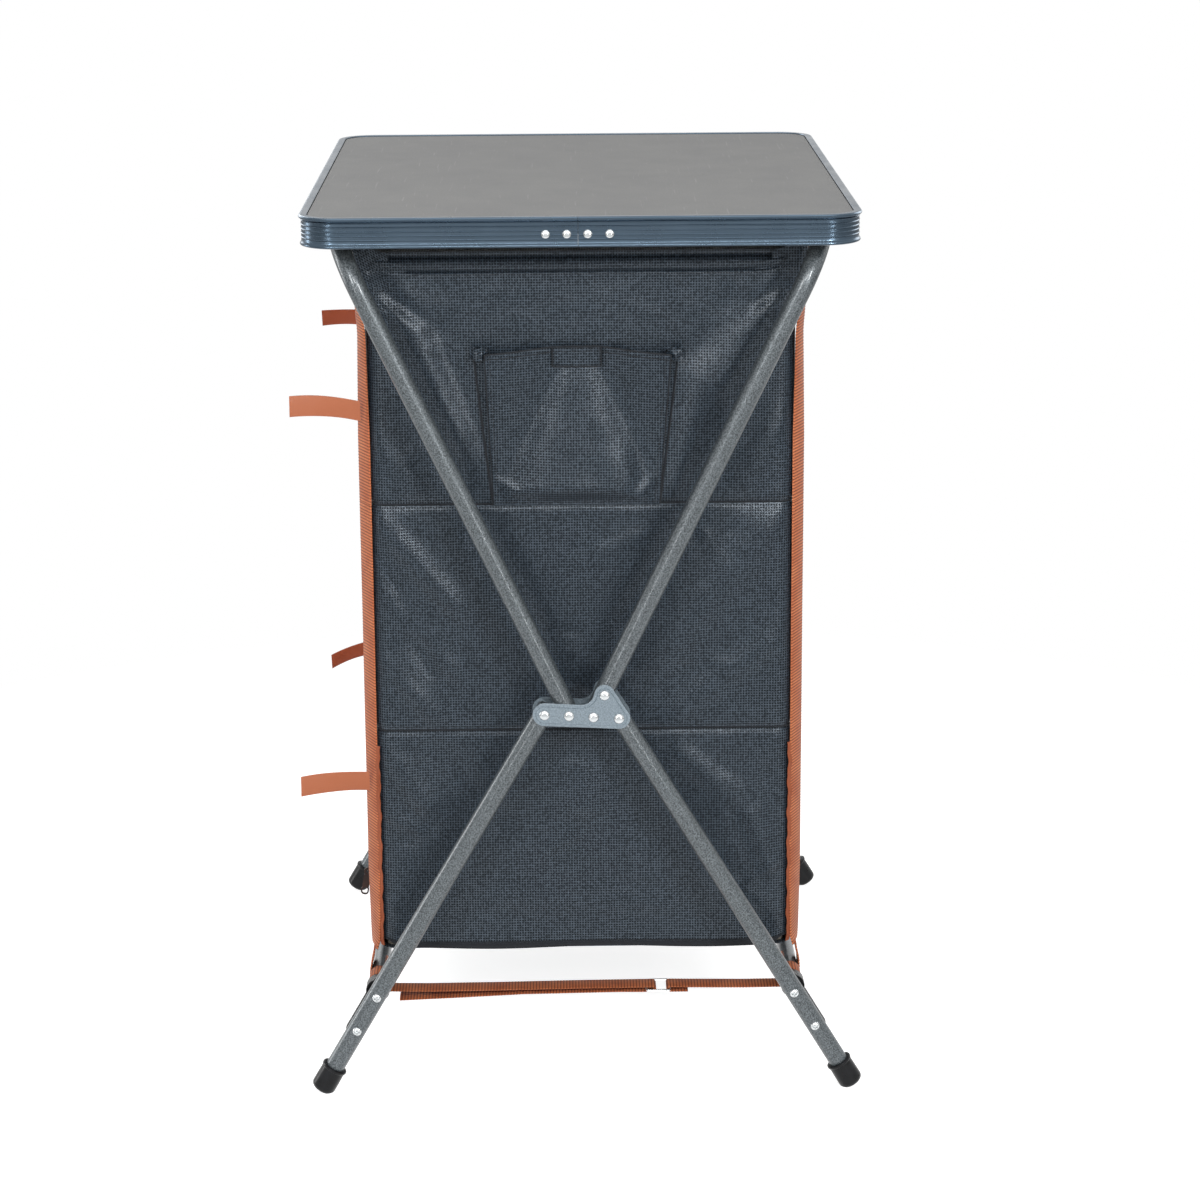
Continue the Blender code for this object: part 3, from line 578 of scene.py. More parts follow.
def grid_cloth(name, points, places, finish, thickness=CLOTH):
    """Cloth from rows of points, with a wall behind its outer face. Faces look the way rows cross columns."""
    faces = grid_of(*points.shape[:2])
    mesh = bpy.data.meshes.new(name)
    mesh.from_pydata(points.reshape(-1, 3).tolist(), [], faces.tolist())
    cloth_map(mesh, places, faces.reshape(-1))
    mesh.materials.append(FINISHES[finish][0])
    host = linked(name, mesh)
    wall = host.modifiers.new("wall", "SOLIDIFY")
    wall.thickness = thickness
    wall.offset = -1.0
    return shade(evaluated_mesh(host), 60)


def cloth_piece(name, points, places, label, thickness=CLOTH, replaces=(), finish="cloth"):
    """Cloth that is sewn to one level of the cabinet."""
    return sewn(name, grid_cloth(name, points, places, finish, thickness), finish, label, replaces)


# Repeated fixings and stitches


def growing_tree(title, sockets):
    """A tree that takes points which know where they face; returns it, its given values and the facing."""
    tree = bpy.data.node_groups.new(title, "GeometryNodeTree")
    for name, kind in (("Geometry", "Geometry"), *sockets, ("Finish", "Material")):
        tree.interface.new_socket(name, in_out="INPUT", socket_type="NodeSocket" + kind)
    tree.interface.new_socket("Geometry", in_out="OUTPUT", socket_type="NodeSocketGeometry")
    given = node(tree, "NodeGroupInput").outputs
    facing = node(tree, "GeometryNodeInputNamedAttribute", {"Name": "facing"}, data_type="FLOAT_VECTOR")
    return tree, given, facing.outputs["Attribute"]


def ended_tree(tree, given, **instancing):
    """Ends a tree: the instances become real and take their finish."""
    placed = node(tree, "GeometryNodeInstanceOnPoints", instancing)
    real = node(tree, "GeometryNodeRealizeInstances", {"Geometry": placed.outputs["Instances"]})
    coated = node(tree, "GeometryNodeSetMaterial", {
        "Geometry": real.outputs["Geometry"], "Material": given["Finish"]})
    node(tree, "NodeGroupOutput", {"Geometry": coated.outputs["Geometry"]})
    return tree


def copies_tree():
    """Copies of one template at points; each point's facing says where the template's Z goes."""
    tree, given, facing = growing_tree("copies at points", [("Template", "Object")])
    turn = node(tree, "FunctionNodeAlignRotationToVector", {"Vector": facing}, axis="Z")
    template = node(tree, "GeometryNodeObjectInfo", {"Object": given["Template"]})
    return ended_tree(tree, given, Points=given["Geometry"], Instance=template.outputs["Geometry"],
                      Rotation=turn.outputs["Rotation"])


def stitches_tree():
    """A row of small rounded pieces along a path: sewn stitches, or the teeth of a zip."""
    sockets = [(name, "Float") for name in ("Pitch", "Length", "Width", "Rise")]
    tree, given, facing = growing_tree("stitches along a path", sockets)
    line = node(tree, "GeometryNodeMeshToCurve", {"Mesh": given["Geometry"]})
    spaced = node(tree, "GeometryNodeResampleCurve", {
        "Curve": line.outputs["Curve"], "Length": given["Pitch"]}, mode="LENGTH")
    tangent = node(tree, "GeometryNodeInputTangent").outputs["Tangent"]
    along = node(tree, "FunctionNodeAlignRotationToVector", {"Vector": tangent}, axis="Z")
    upright = node(tree, "FunctionNodeAlignRotationToVector", {
        "Rotation": along.outputs["Rotation"], "Vector": facing}, axis="X", pivot_axis="Z")
    bead = node(tree, "GeometryNodeMeshUVSphere", {"Segments": 8, "Rings": 4, "Radius": 0.5})
    size = node(tree, "ShaderNodeCombineXYZ", {"X": given["Rise"], "Y": given["Width"], "Z": given["Length"]})
    return ended_tree(tree, given, Points=spaced.outputs["Curve"], Instance=bead.outputs["Mesh"],
                      Rotation=upright.outputs["Rotation"], Scale=size.outputs["Vector"])


COPIES = copies_tree()
STITCHES = stitches_tree()


def grown(name, points, edges, tree, **values):
    """Runs one of the trees on (place, facing) points; returns a plain mesh."""
    mesh = bpy.data.meshes.new(name)
    mesh.from_pydata([tuple(place) for place, _ in points], edges, [])
    facing = mesh.attributes.new("facing", "FLOAT_VECTOR", "POINT")
    facing.data.foreach_set("vector", np.array([tuple(f) for _, f in points], np.float32).reshape(-1))
    host = linked(name, mesh)
    grow = host.modifiers.new("grow", "NODES")
    grow.node_group = tree
    for socket in tree.interface.items_tree:
        if socket.in_out == "INPUT" and socket.name in values:
            grow[socket.identifier] = values[socket.name]
    return shade(evaluated_mesh(host), 40)


def fixings(name, template_shape, points, finish, body, replaces=()):
    """Copies of one fixing, such as a rivet or a screw, at each (place, facing) point."""
    template = bpy.data.objects.new(name + "_template", mesh_of(name + "_template", template_shape, finish))
    made = grown(name, points, [], COPIES, Template=template, Finish=FINISHES[finish][0])
    bpy.data.objects.remove(template)
    return add_piece(name, made, finish, body, replaces)


def facing_line(places, facing):
    return [(Vector(place), facing) for place in places]


def stitching(name, lines, body, flatten, finish="thread", pitch=0.0032, length=0.0024, width=0.0007,
              rise=0.0007):
    """Stitches along lines of (place, facing) points."""
    points, edges = [], []
    for line in lines:
        start = len(points)
        points += line
        edges += [(start + i, start + i + 1) for i in range(len(line) - 1)]
    made = grown(name, points, edges, STITCHES, Pitch=pitch, Length=length, Width=width, Rise=rise,
                 Finish=FINISHES[finish][0])
    return add_piece(name, made, finish, body, flatten=flatten)


def zip_coil(name, places, body, flatten):
    stitching(name, [facing_line(places, TOWARDS_DOORS)], body, flatten, "coil", pitch=0.0015, length=0.0010,
              width=0.0042, rise=0.0016)


# Table


def edge_band():
    """Extruded strip bent round the board: a rolled lip, fine ribs and a flared foot, butted at one seam."""
    profile = [(0.0030, 0.0), (0.0068, 0.0), (0.0075, 0.0007), (0.0075, 0.0024), (0.0050, 0.0028),
               (0.0050, 0.0113), (0.0130, 0.0113), (0.0130, 0.0128), (0.0050, 0.0128), (0.0050, 0.0266),
               (0.0044, BAND_HEIGHT), (0.0028, BAND_HEIGHT), (0.0017, 0.0271), (0.0011, 0.0264),
               (0.0010, 0.0257), (0.0013, 0.0249), (0.0018, 0.0242), (0.0022, 0.0236)]
    rib_pitch, first = 0.0038, 0.0231
    for rib in range(5):
        foot = first - rib * rib_pitch
        profile += [(0.0024, foot), (0.0024, foot - 0.0024), (0.0020, foot - 0.0028), (0.0018, foot - 0.0032),
                    (0.0021, foot - 0.0035)]
    profile += [(0.0024, 0.0040), (0.0017, 0.0036), (0.0008, 0.0031), (0.0002, 0.0025),
                (0.0, 0.0016), (0.0005, 0.0007), (0.0014, 0.0001)]
    steps = 16
    outline = rounded_rectangle(TABLE_HALF_X, TABLE_HALF_Y, TABLE_CORNER, steps)
    turns = [math.radians(start + 90 * i / steps) for start in (0, 90, 180, 270) for i in range(steps + 1)]
    normals = [(math.cos(t), math.sin(t)) for t in turns]
    ends = [((TABLE_HALF_X, BAND_SEAM_Y + sign * SEAM_GAP / 2), (1.0, 0.0)) for sign in (1, -1)]
    route = [ends[0]] + list(zip(outline, normals)) + [ends[1]]
    rings = [[(x - nx * d, y - ny * d, TABLE_HEIGHT - z) for d, z in profile] for (x, y), (nx, ny) in route]
    add_piece("edge_band", lofted(rings), "band", "tabletop", ["table_edge_band"])


def dome(radius, rise):
    """Profile of a domed head along +Z, from its top to its rim."""
    turns = [math.radians(turn) for turn in range(12, 91, 13)]
    return [(rise, 0.0)] + [(rise * math.cos(t), radius * math.sin(t)) for t in turns]


def splice_rivet():
    radius, rise, shank = 0.0042, 0.0021, 0.004
    stem = [(-0.0001, radius), (-0.0002, radius * 0.5), (-shank, radius * 0.5), (-shank, 0.0)]
    return turned(dome(radius, rise) + stem, (0.0, 0.0, 0.0), (0.0, 0.0, 1.0), 24)


def cross_screw():
    """A pan head with a cross recess: the top is a fan of rings whose points dip along the cross."""
    radius, rise, shank, recess, sides = 0.0042, 0.0024, 0.003, 0.0010, 48
    shape = bmesh.new()
    turns = [2 * math.pi * k / sides for k in range(sides)]
    rings = []
    for share in (0.12, 0.24, 0.36, 0.48, 0.60, 0.72, 0.84, 0.94, 1.0):
        dome_height = rise * (1 - share ** 2.4) ** 0.5 if share < 1 else 0.0
        ring = []
        for t in turns:
            x, y = radius * share * math.cos(t), radius * share * math.sin(t)
            sunk = min(abs(x), abs(y)) < radius * 0.13 and max(abs(x), abs(y)) < radius * 0.58
            ring.append(shape.verts.new((x, y, max(dome_height - (recess if sunk else 0.0), 0.0))))
        rings.append(ring)
    top = shape.verts.new((0.0, 0.0, rise - 0.0012))
    for k in range(sides):
        shape.faces.new((top, rings[0][k], rings[0][(k + 1) % sides]))
    low = [shape.verts.new((radius * 0.5 * math.cos(t), radius * 0.5 * math.sin(t), -shank)) for t in turns]
    bridge(shape, rings + [low])
    shape.faces.new(low)
    return shape


def hook(end, place):
    """The solid of a hook with its flat faces joined and its edges softened."""
    source = f"table_hook_{end}_{place}"
    shape = bmesh.new()
    shape.from_mesh(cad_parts[source].data)
    bmesh.ops.remove_doubles(shape, verts=shape.verts, dist=1e-6)
    bmesh.ops.dissolve_limit(shape, angle_limit=math.radians(1), verts=shape.verts, edges=shape.edges)
    edges = [edge for edge in shape.edges if edge.is_manifold and edge.calc_face_angle() > math.radians(40)]
    bmesh.ops.bevel(shape, geom=edges, offset=0.0006, segments=2, affect="EDGES", profile=0.5)
    add_piece(f"hook_{end}_{place}", shape, "plastic", "tabletop", [source])


def table():
    coat_solid("tabletop_board", "laminate")
    edge_band()
    seat, plate_face, plate_thickness = TABLE_HALF_X - 0.0024, TABLE_HALF_X - 0.0056, 0.0012
    rivets = facing_line([(seat, y, SPLICE_RIVET_Z) for y in SPLICE_RIVETS_Y], (1, 0, 0))
    fixings("splice_rivets", splice_rivet(), rivets, "rivet", "tabletop")
    outline = rounded_rectangle(0.036, 0.0050, 0.0015, 4)
    splice_plate = lofted([[(plate_face - d, y, z) for y, z in outline] for d in (0.0, plate_thickness)])
    bmesh.ops.translate(splice_plate, vec=(0.0, *SPLICE_PLATE), verts=splice_plate.verts)
    add_piece("splice_plate", splice_plate, "rivet", "tabletop")
    for end, _, place, _ in CORNERS:
        hook(end, place)


# Frame


def top_bar_reach(place):
    hub, lean = UPPERS[place]
    return (TOP_BAR_Z - hub[1]) / math.cos(lean)


def top_bar_outward(place):
    hub, lean = UPPERS[place]
    return abs(hub[0] + top_bar_reach(place) * math.sin(lean))


def lower_bar_place(place):
    hub, lean = LEGS[place]
    run = (hub[1] - LOWER_BAR_Z) / abs(math.cos(lean))
    return (hub[0] + run * math.sin(lean), LOWER_BAR_Z)


def upper_frame(place):
    """One U of bent tube: two side tubes and the top bar that they bend into."""
    hub, lean = UPPERS[place]
    along = direction(lean)
    bend_start = top_bar_reach(place) - BEND_RADIUS
    half = [at(END_FRAME_X, hub) - along * TUBE_TAIL]
    for i in range(21):
        turn = math.radians(4.5 * i)
        inward = BEND_RADIUS * (1 - math.cos(turn))
        half.append(at(END_FRAME_X - inward, hub) + along * (bend_start + BEND_RADIUS * math.sin(turn)))
    path = half + [Vector((-point.x, point.y, point.z)) for point in reversed(half)]
    bent = tube(path, TUBE_RADIUS, TUBE_BORE)
    add_piece(f"upper_frame_{place}", bent, "tube", f"{place}_frame", [f"{place}_upper_frame"])


def leg_length(place):
    hub, lean = LEGS[place]
    tilt = abs(math.pi - lean)
    lowest = CAP_ROUND * math.cos(tilt) + (CAP_RADIUS - CAP_ROUND) * math.sin(tilt) - CAP_ROUND
    return (hub[1] - lowest + CAP_FLAT_DEPTH) / math.cos(tilt)


def foot_cap(name, x, place):
    """Moulded cup over the end of a leg: a rolled rim, a slight waist and a rounded sole worn flat."""
    hub, lean = LEGS[place]
    along = direction(lean)
    base = at(x, hub) + along * (leg_length(place) - CAP_LENGTH)
    bore = TUBE_RADIUS + 0.0002
    sole = CAP_LENGTH - CAP_ROUND
    rim = ((0.0, 0.0001), (0.0004, 0.0006), (0.0016, 0.0008), (0.0026, 0.0005), (0.0031, -0.0001),
           (0.0042, -0.0002), (sole - 0.004, 0.0))
    profile = [(CAP_SOCKET, 0.0), (CAP_SOCKET, bore), (0.0004, bore), (0.0, bore + 0.0003)]
    profile += [(down, CAP_RADIUS + out) for down, out in rim]
    for turn in range(0, 91, 10):
        t = math.radians(turn)
        profile.append((sole + CAP_ROUND * math.sin(t), CAP_RADIUS - CAP_ROUND + CAP_ROUND * math.cos(t)))
    profile.append((CAP_LENGTH, 0.0))
    cap = turned(profile, base, along, 48)
    cut = bmesh.ops.bisect_plane(cap, geom=cap.verts[:] + cap.edges[:] + cap.faces[:], plane_co=(0, 0, 0),
                                 plane_no=(0, 0, -1), clear_outer=True)
    worn = [item for item in cut["geom_cut"] if isinstance(item, bmesh.types.BMEdge)]
    bmesh.ops.holes_fill(cap, edges=worn, sides=0)
    add_piece(name, cap, "plastic", f"{place}_legs", [name])


def connector(name, side, place):
    """Moulded end piece inside a leg: a rounded plate along the leg and a collar that takes the lower bar."""
    centre = lower_bar_place(place)
    along = direction(LEGS[place][1])
    across = Vector((0.0, along.z, -along.y))
    plate_out, plate_in, collar_out = 0.2557, 0.2502, 0.2555
    half_width, half_length, beyond_bar = 0.0085, 0.033, 0.019
    middle = at(0.0, centre) + along * beyond_bar
    outline = rounded_rectangle(half_width, half_length, 0.006, 6)
    rings = []
    for x, inset in ((plate_in, 0.0012), (plate_in + 0.0010, 0.0), (plate_out, 0.0)):
        ring = [middle + across * a + along * b for a, b in inset_outline(outline, inset)]
        rings.append([Vector((side * x, p.y, p.z)) for p in ring])
    bar = LOWER_BAR_RADIUS + 0.0002
    profile = [(0.0, 0.0), (0.0, 0.0112), (0.0140, 0.0112), (0.0151, 0.0108), (0.0155, 0.0101),
               (0.0155, bar), (0.0075, bar), (0.0075, 0.0)]
    collar = turned(profile, at(side * collar_out, centre), (-side, 0.0, 0.0), 40)
    add_piece(name, joined(lofted(rings), collar), "plastic", f"{place}_legs", [name])


def hub_outline():
    """Straight bar over the leg and tube rivets, with a bump round the locking rivet."""
    left, right, lock = HUB_LEG_FRONT, HUB_LEG_REAR, HUB_LOCK
    tilt = math.degrees(math.atan2(right[1] - left[1], right[0] - left[0]))
    outline = arc(left, HUB_BAR_HALF, 270 + tilt, 90 + tilt, 20)
    along = Vector(right) - Vector(left)
    share = (lock[0] - HUB_BUMP_RADIUS - HUB_FILLET - left[0]) / along.x
    base = Vector(left) + along * share
    outline += arc((base.x, base.y + HUB_BAR_HALF + HUB_FILLET), HUB_FILLET, 270, 345, 10)
    outline += arc(lock, HUB_BUMP_RADIUS, 165, 20, 16)
    outline += arc(right, HUB_BAR_HALF * 0.95, 20, -90 + tilt, 14)
    return outline[::-1]


def hub_plates():
    """Pressed plates either side of the tubes: the rim is set back from the field that carries the rivets."""
    outline = hub_outline()
    for end, side in ENDS.items():
        for layer, (low, high) in PLATE_SPANS.items():
            way = 1 if layer == "outer" else -1
            back, face = (low, high) if layer == "outer" else (high, low)
            rim = face - way * PLATE_SINK
            levels = ((0.0, back), (0.0, rim - way * PLATE_EDGE), (PLATE_EDGE, rim), (0.0028, rim),
                      (0.0035, face))
            rings = [[(side * x, y, z) for y, z in inset_outline(outline, inset)] for inset, x in levels]
            name = f"hub_plate_{end}_{layer}"
            add_piece(name, lofted(rings), "plate", "rear_frame", [name])


def hub_rivets():
    """Solid rivets through both plates, with a bright dome outside and a set head inside."""
    radius, rise, shank = 0.0049, 0.0026, 0.0025
    grip = 2 * (RIVET_FACE - END_FRAME_X)
    profile = dome(radius, rise)
    profile += [(0.0, shank), (-grip, shank), (-grip, radius * 0.85), (-grip - rise * 0.45, radius * 0.72),
                (-grip - rise * 0.75, radius * 0.40), (-grip - rise * 0.8, 0.0)]
    rivet = turned(profile, (0.0, 0.0, 0.0), (0.0, 0.0, 1.0), 24)
    points = [(at(side * RIVET_FACE, place), (side, 0.0, 0.0)) for side in ENDS.values()
              for place in (HUB_LEG_FRONT, HUB_UPPER_FRONT, HUB_UPPER_REAR, HUB_LEG_REAR, HUB_LOCK)]
    labels = ("leg_front", "upper_front", "upper_rear", "leg_rear")
    fixings("hub_rivets", rivet, points, "rivet", "rear_frame",
            [f"hub_rivet_{label}_{end}" for label in labels for end in ENDS])


def steel_frame():
    for place in PLACES:
        upper_frame(place)
    hub_plates()
    hub_rivets()
    for place in PLACES:
        hub, lean = LEGS[place]
        body = f"{place}_legs"
        along = direction(lean)
        end_of_tube = leg_length(place) - (CAP_LENGTH - CAP_SOCKET) - 0.0003
        bar_path = [at(x, lower_bar_place(place)) for x in (-LOWER_BAR_HALF, 0.0, LOWER_BAR_HALF)]
        bar = tube(bar_path, LOWER_BAR_RADIUS, LOWER_BAR_BORE)
        add_piece(f"low_bar_{place}", bar, "tube", body, [f"lower_bar_{place}"])
        screws = []
        for end, side in ENDS.items():
            x = side * END_FRAME_X
            path = [at(x, hub) + along * s for s in (-TUBE_TAIL, end_of_tube / 2, end_of_tube)]
            leg = tube(path, TUBE_RADIUS, TUBE_BORE)
            add_piece(f"leg_tube_{place}_{end}", leg, "tube", body, [f"leg_{place}_{end}"])
            foot_cap(f"foot_cap_{place}_{end}", x, place)
            connector(f"bar_connector_{place}_{end}", side, place)
            seat = side * (END_FRAME_X + TUBE_RADIUS - 0.0004)
            screws += [(at(seat, hub) + along * s, (side, 0.0, 0.0)) for s in LEG_SCREWS[place]]
        fixings(f"leg_screws_{place}", cross_screw(), screws, "rivet", body)


# Cloth


def bump_along(distance, width):
    return np.exp(-(distance / width) ** 2)


def held(values):
    """The values, held between 0 and 1."""
    return np.clip(values, 0.0, 1.0)


def eased(share):
    """A share from 0 to 1 with a soft start and end."""
    return share * share * (3 - 2 * share)


def rumple(a, b, seed, size):
    """Soft irregular relief of about +-1 over two coordinates, with folds of about the given size."""
    flat_a, flat_b = np.broadcast_arrays(a, b)
    pairs = zip(flat_a.reshape(-1), flat_b.reshape(-1))
    values = [noise.noise(Vector((u / size, v / size, seed * 7.31))) for u, v in pairs]
    return np.array(values).reshape(flat_a.shape) * 1.6


# Folds of the near side panel, from the photograph: Y, Z of the start, Y, Z of the end, height and width, all
# in millimetres, and how far the fold leans to one side
NEAR_FOLDS = (
    (-200, 776, -146, 732, -4.2, 6.5, 0.5), (-184, 776, -126, 734, 1.4, 7.5, 0.3),
    (-172, 755, -100, 600, 5.8, 14.5, 0.3), (-135, 740, -88, 600, -4.0, 13.0, 0.0),
    (-196, 640, -150, 562, 4.1, 10.9, 0.2), (-165, 660, -110, 575, -2.3, 10.9, 0.0),
    (200, 776, 156, 742, -3.6, 6.0, -0.5), (190, 772, 118, 655, 4.8, 13.4, -0.3),
    (140, 755, 92, 690, -2.5, 12.6, 0.0), (118, 700, 82, 562, 3.4, 9.2, 0.0),
    (192, 650, 145, 566, 3.7, 11.8, -0.2), (165, 655, 112, 580, -2.5, 10.1, 0.0),
    (-196, 554, -113, 452, 5.5, 10.9, 0.3), (-195, 521, -138, 405, -3.7, 7.6, 0.0),
    (-192, 487, -117, 390, 3.9, 9.2, 0.3), (-163, 438, -140, 391, -2.3, 5.0, 0.0),
    (-190, 415, -138, 350, 3.9, 8.4, 0.3), (-112, 556, -30, 410, -3.4, 15.1, 0.0),
    (105, 556, 30, 430, -3.2, 14.3, 0.0), (194, 558, 65, 400, 4.8, 18.5, -0.3),
    (195, 440, 75, 350, 3.2, 12.6, 0.0), (96, 546, 119, 522, 2.3, 3.4, 0.5),
    (119, 522, 138, 538, -1.8, 3.4, 0.0), (122, 515, 142, 488, 1.5, 3.4, 0.4),
    (82, 412, 143, 404, 1.3, 3.4, 0.0), (10, 510, 60, 535, 1.8, 6.7, 0.0),
    (-30, 440, 0, 437, -1.4, 3.4, 0.0), (-190, 325, -143, 255, 4.4, 10.9, 0.3),
    (-196, 262, -154, 240, 3.2, 5.0, 0.4), (-196, 231, -158, 231, -2.8, 5.0, 0.0),
    (-150, 334, -70, 240, -3.2, 13.4, 0.0), (-190, 150, -160, 134, 2.3, 5.0, 0.4),
    (-8, 315, 2, 255, 3.2, 13.4, 0.0), (88, 322, 150, 268, 4.4, 11.8, -0.2),
    (167, 305, 190, 212, -3.9, 6.7, 0.5), (152, 264, 179, 194, 3.9, 7.6, 0.3),
    (154, 187, 193, 216, 2.5, 5.0, 0.0), (120, 200, 190, 150, 2.5, 9.2, 0.0),
    (-90, 174, 80, 168, 2.5, 10.9, 0.0), (-36, 222, -4, 236, 1.8, 4.2, 0.4),
)
POCKET_FOLDS = (
    (-80, 585, -55, 572, 1.6, 4, 0.0), (-83, 662, -60, 640, 1.4, 5, 0.0), (70, 590, 50, 566, 1.8, 5, 0.0),
    (78, 650, 60, 626, -1.4, 5, 0.0), (30, 572, 62, 566, 1.2, 3, 0.0),
)


def crease(y, z, fold, sign=1.0):
    """One fold line: a ridge (or a valley, below 0) that fades out at both ends. Sign -1 mirrors it."""
    start = np.array((sign * fold[0], fold[1])) / MILLIMETRES
    end = np.array((sign * fold[2], fold[3])) / MILLIMETRES
    height, width, lean = fold[4] / MILLIMETRES, fold[5] / MILLIMETRES, sign * fold[6]
    line = end - start
    length = np.hypot(*line)
    line = line / length
    along = (y - start[0]) * line[0] + (z - start[1]) * line[1]
    across = -(y - start[0]) * line[1] + (z - start[1]) * line[0]
    fade = held(np.minimum(along, length - along) / (0.25 * length) + 0.35)
    fade = np.where((along < -0.1 * length) | (along > 1.1 * length), 0.0, eased(fade))
    ridge = np.exp(-(across / width) ** 2)
    slope = across / width * np.exp(-(across / (1.6 * width)) ** 2)
    return height * fade * (ridge + lean * slope)


def side_relief(y, z, near):
    """How far the side panel stands out of its plane. The far one has the same folds, mirrored."""
    total = np.zeros(np.broadcast(y, z).shape)
    for fold in NEAR_FOLDS:
        total = total + crease(y, z, fold, 1.0 if near else -1.0)
    total = total + 0.0007 * rumple(y, z, 3 if near else 5, 0.060)
    crumpled = 0.45 - np.abs(rumple(y + 0.4 * z, z - 0.3 * y, 9 if near else 11, 0.030))
    return total + 0.0011 * np.clip(crumpled, -0.2, 0.45)


def wall_columns(step):
    """Evenly spaced places along the wall from the near door edge round the back to the far one.

    Returns the distance, X, Y and the two parts of the outward direction.
    """
    x, y, r = CABINET_HALF_X, CABINET_HALF_Y, CABINET_CORNER
    places = [((DOORWAY_HALF, -y), (0.0, -1.0))]
    for sign_x, sign_y, start in ((1, -1, -90), (1, 1, 0), (-1, 1, 90), (-1, -1, 180)):
        centre = (sign_x * (x - r), sign_y * (y - r))
        for i in range(13):
            t = math.radians(start + 7.5 * i)
            normal = (math.cos(t), math.sin(t))
            places.append(((centre[0] + r * normal[0], centre[1] + r * normal[1]), normal))
    places.append(((-DOORWAY_HALF, -y), (0.0, -1.0)))
    plan, normals = np.array([p for p, _ in places]), np.array([n for _, n in places])
    run = np.concatenate([[0.0], np.cumsum(np.hypot(*np.diff(plan, axis=0).T))])
    s = np.linspace(0.0, run[-1], int(run[-1] / step) + 1)
    x, y, nx, ny = (np.interp(s, run, values) for values in (*plan.T, *normals.T))
    size = np.hypot(nx, ny)
    return s, x, y, nx / size, ny / size


def at_corner(x, y):
    """1 in the middle of a rounded corner of the plan, 0 on the flat walls."""
    over_x = held((np.abs(x) - (CABINET_HALF_X - 0.019)) / 0.019)
    over_y = held((np.abs(y) - (CABINET_HALF_Y - 0.019)) / 0.019)
    return held(over_x * over_y / 0.55)


def wall_offset(x, y, z, label):
    """Relief of the whole wall: none at corners and door edges, pinched at seams, rolled over at the top."""
    low, high = TIERS[label][1:]
    flat_side = held((CABINET_HALF_Y - 0.004 - np.abs(y)) / 0.02)
    flat_rear = np.where(y > 0, held((CABINET_HALF_X - CABINET_CORNER - np.abs(x)) / 0.02), 0.0)
    on_side = np.abs(x) > CABINET_HALF_X - CABINET_CORNER / 2
    sides = np.where(x > 0, side_relief(y, z, True), side_relief(y, z, False)) * flat_side
    soft = 0.0030 * rumple(x + 0.3 * z, z, 21, 0.100)
    rear = (soft + 0.0016 * rumple(x * 0.8 - 0.5 * z, z, 23, 0.034)) * flat_rear
    ease = 0.006 if label == "upper" else 0.012
    middle = held((z - low) / 0.012) * held((high - z) / ease)
    relief = np.clip(np.where(on_side, sides, rear), -0.0050, 0.0062) * middle
    relief = relief - 0.0015 * bump_along(z - low, 0.004)
    if label != "upper":
        return relief - 0.0015 * bump_along(z - high, 0.004)
    along = np.where(on_side, np.abs(y), np.abs(x) - (CABINET_HALF_X - CABINET_HALF_Y))
    rise = held((along - 0.150) / 0.044)
    over = z - (0.7780 + 0.0085 * rise * rise)
    roll = -0.0020 * bump_along(over, 0.0014) + 0.0016 * bump_along(over - 0.0045, 0.0040)
    return relief + roll - 0.0030 * held((z - CABINET_TOP - 0.003) / 0.0045) ** 2


def wall_surface(label, columns, z, out=0.0):
    """Points of one level's wall, out from its outer face, with their places on the flat cloth."""
    s, x, y, nx, ny = columns
    z = np.asarray(z, float)[:, None]
    shape = (len(z), len(s))
    x, y, height = (np.broadcast_to(values, shape) for values in (x, y, z))
    places = np.stack([np.broadcast_to(s, shape), height], axis=-1)
    offset = wall_offset(x, y, height, label) + np.broadcast_to(out, shape)
    if label == "lower":
        height = height + 0.0085 * at_corner(x, y) * np.exp((CABINET_BOTTOM - height) / 0.010)
        height = height + 0.0012 * np.sin(y * 31 + 1.0) * np.exp((CABINET_BOTTOM - height) / 0.006)
    return np.stack([x + nx * offset, y + ny * offset, height], axis=-1), places


def wall_heights(label):
    """Row heights of one level: close together at seams and at the roll of the top, wider between them."""
    low, high = TIERS[label][1:]
    fine_top, top = (0.018, high + HEM_RISE) if label == "upper" else (0.008, high - 0.0004)
    spans = ((low, low + 0.008, 0.0013), (low + 0.009, high - fine_top, 0.0040),
             (high - fine_top, top - 0.0006, 0.0011))
    return np.concatenate([np.arange(*span) for span in spans] + [[top]])


def tier_walls(label):
    """The side and rear walls of one level, with the two strips beside the doors."""
    surface = wall_surface(label, wall_columns(0.0042), wall_heights(label))
    piece = cloth_piece(f"walls_{label}", *surface, label, replaces=[f"cabinet_{label}"])


def corner_ears():
    """Corners of the top hem, drawn out and up towards the bends of the frame."""
    inner = 0.1740
    for end, side, place, sign_y in CORNERS:
        v, u = np.meshgrid(np.linspace(0.0, 1.0, 29), np.linspace(0.0, 1.0, 13), indexing="ij")
        outer = 0.1895 + 0.0195 * v ** 0.9
        y = inner + (outer - inner) * u
        z = 0.7260 + (CABINET_TOP + HEM_RISE - 0.7264 + 0.0125 * u ** 1.3) * v
        ends, seam = np.full_like(y, side * CABINET_HALF_X), np.full_like(y, sign_y * inner)
        lift = wall_offset(ends, seam, np.minimum(z, CABINET_TOP + 0.002), "upper")
        x = CABINET_HALF_X - 0.0005 + lift * 0.8 + 0.0010 * np.sin(u * 7 + v * 3) * u - 0.0006 * u * u
        points = np.stack([side * x, sign_y * y, z], axis=-1)
        if side * sign_y < 0:
            points = points[:, ::-1]
        cloth_piece(f"corner_ear_{place}_{end}", points, np.stack([y, z], axis=-1), "upper")


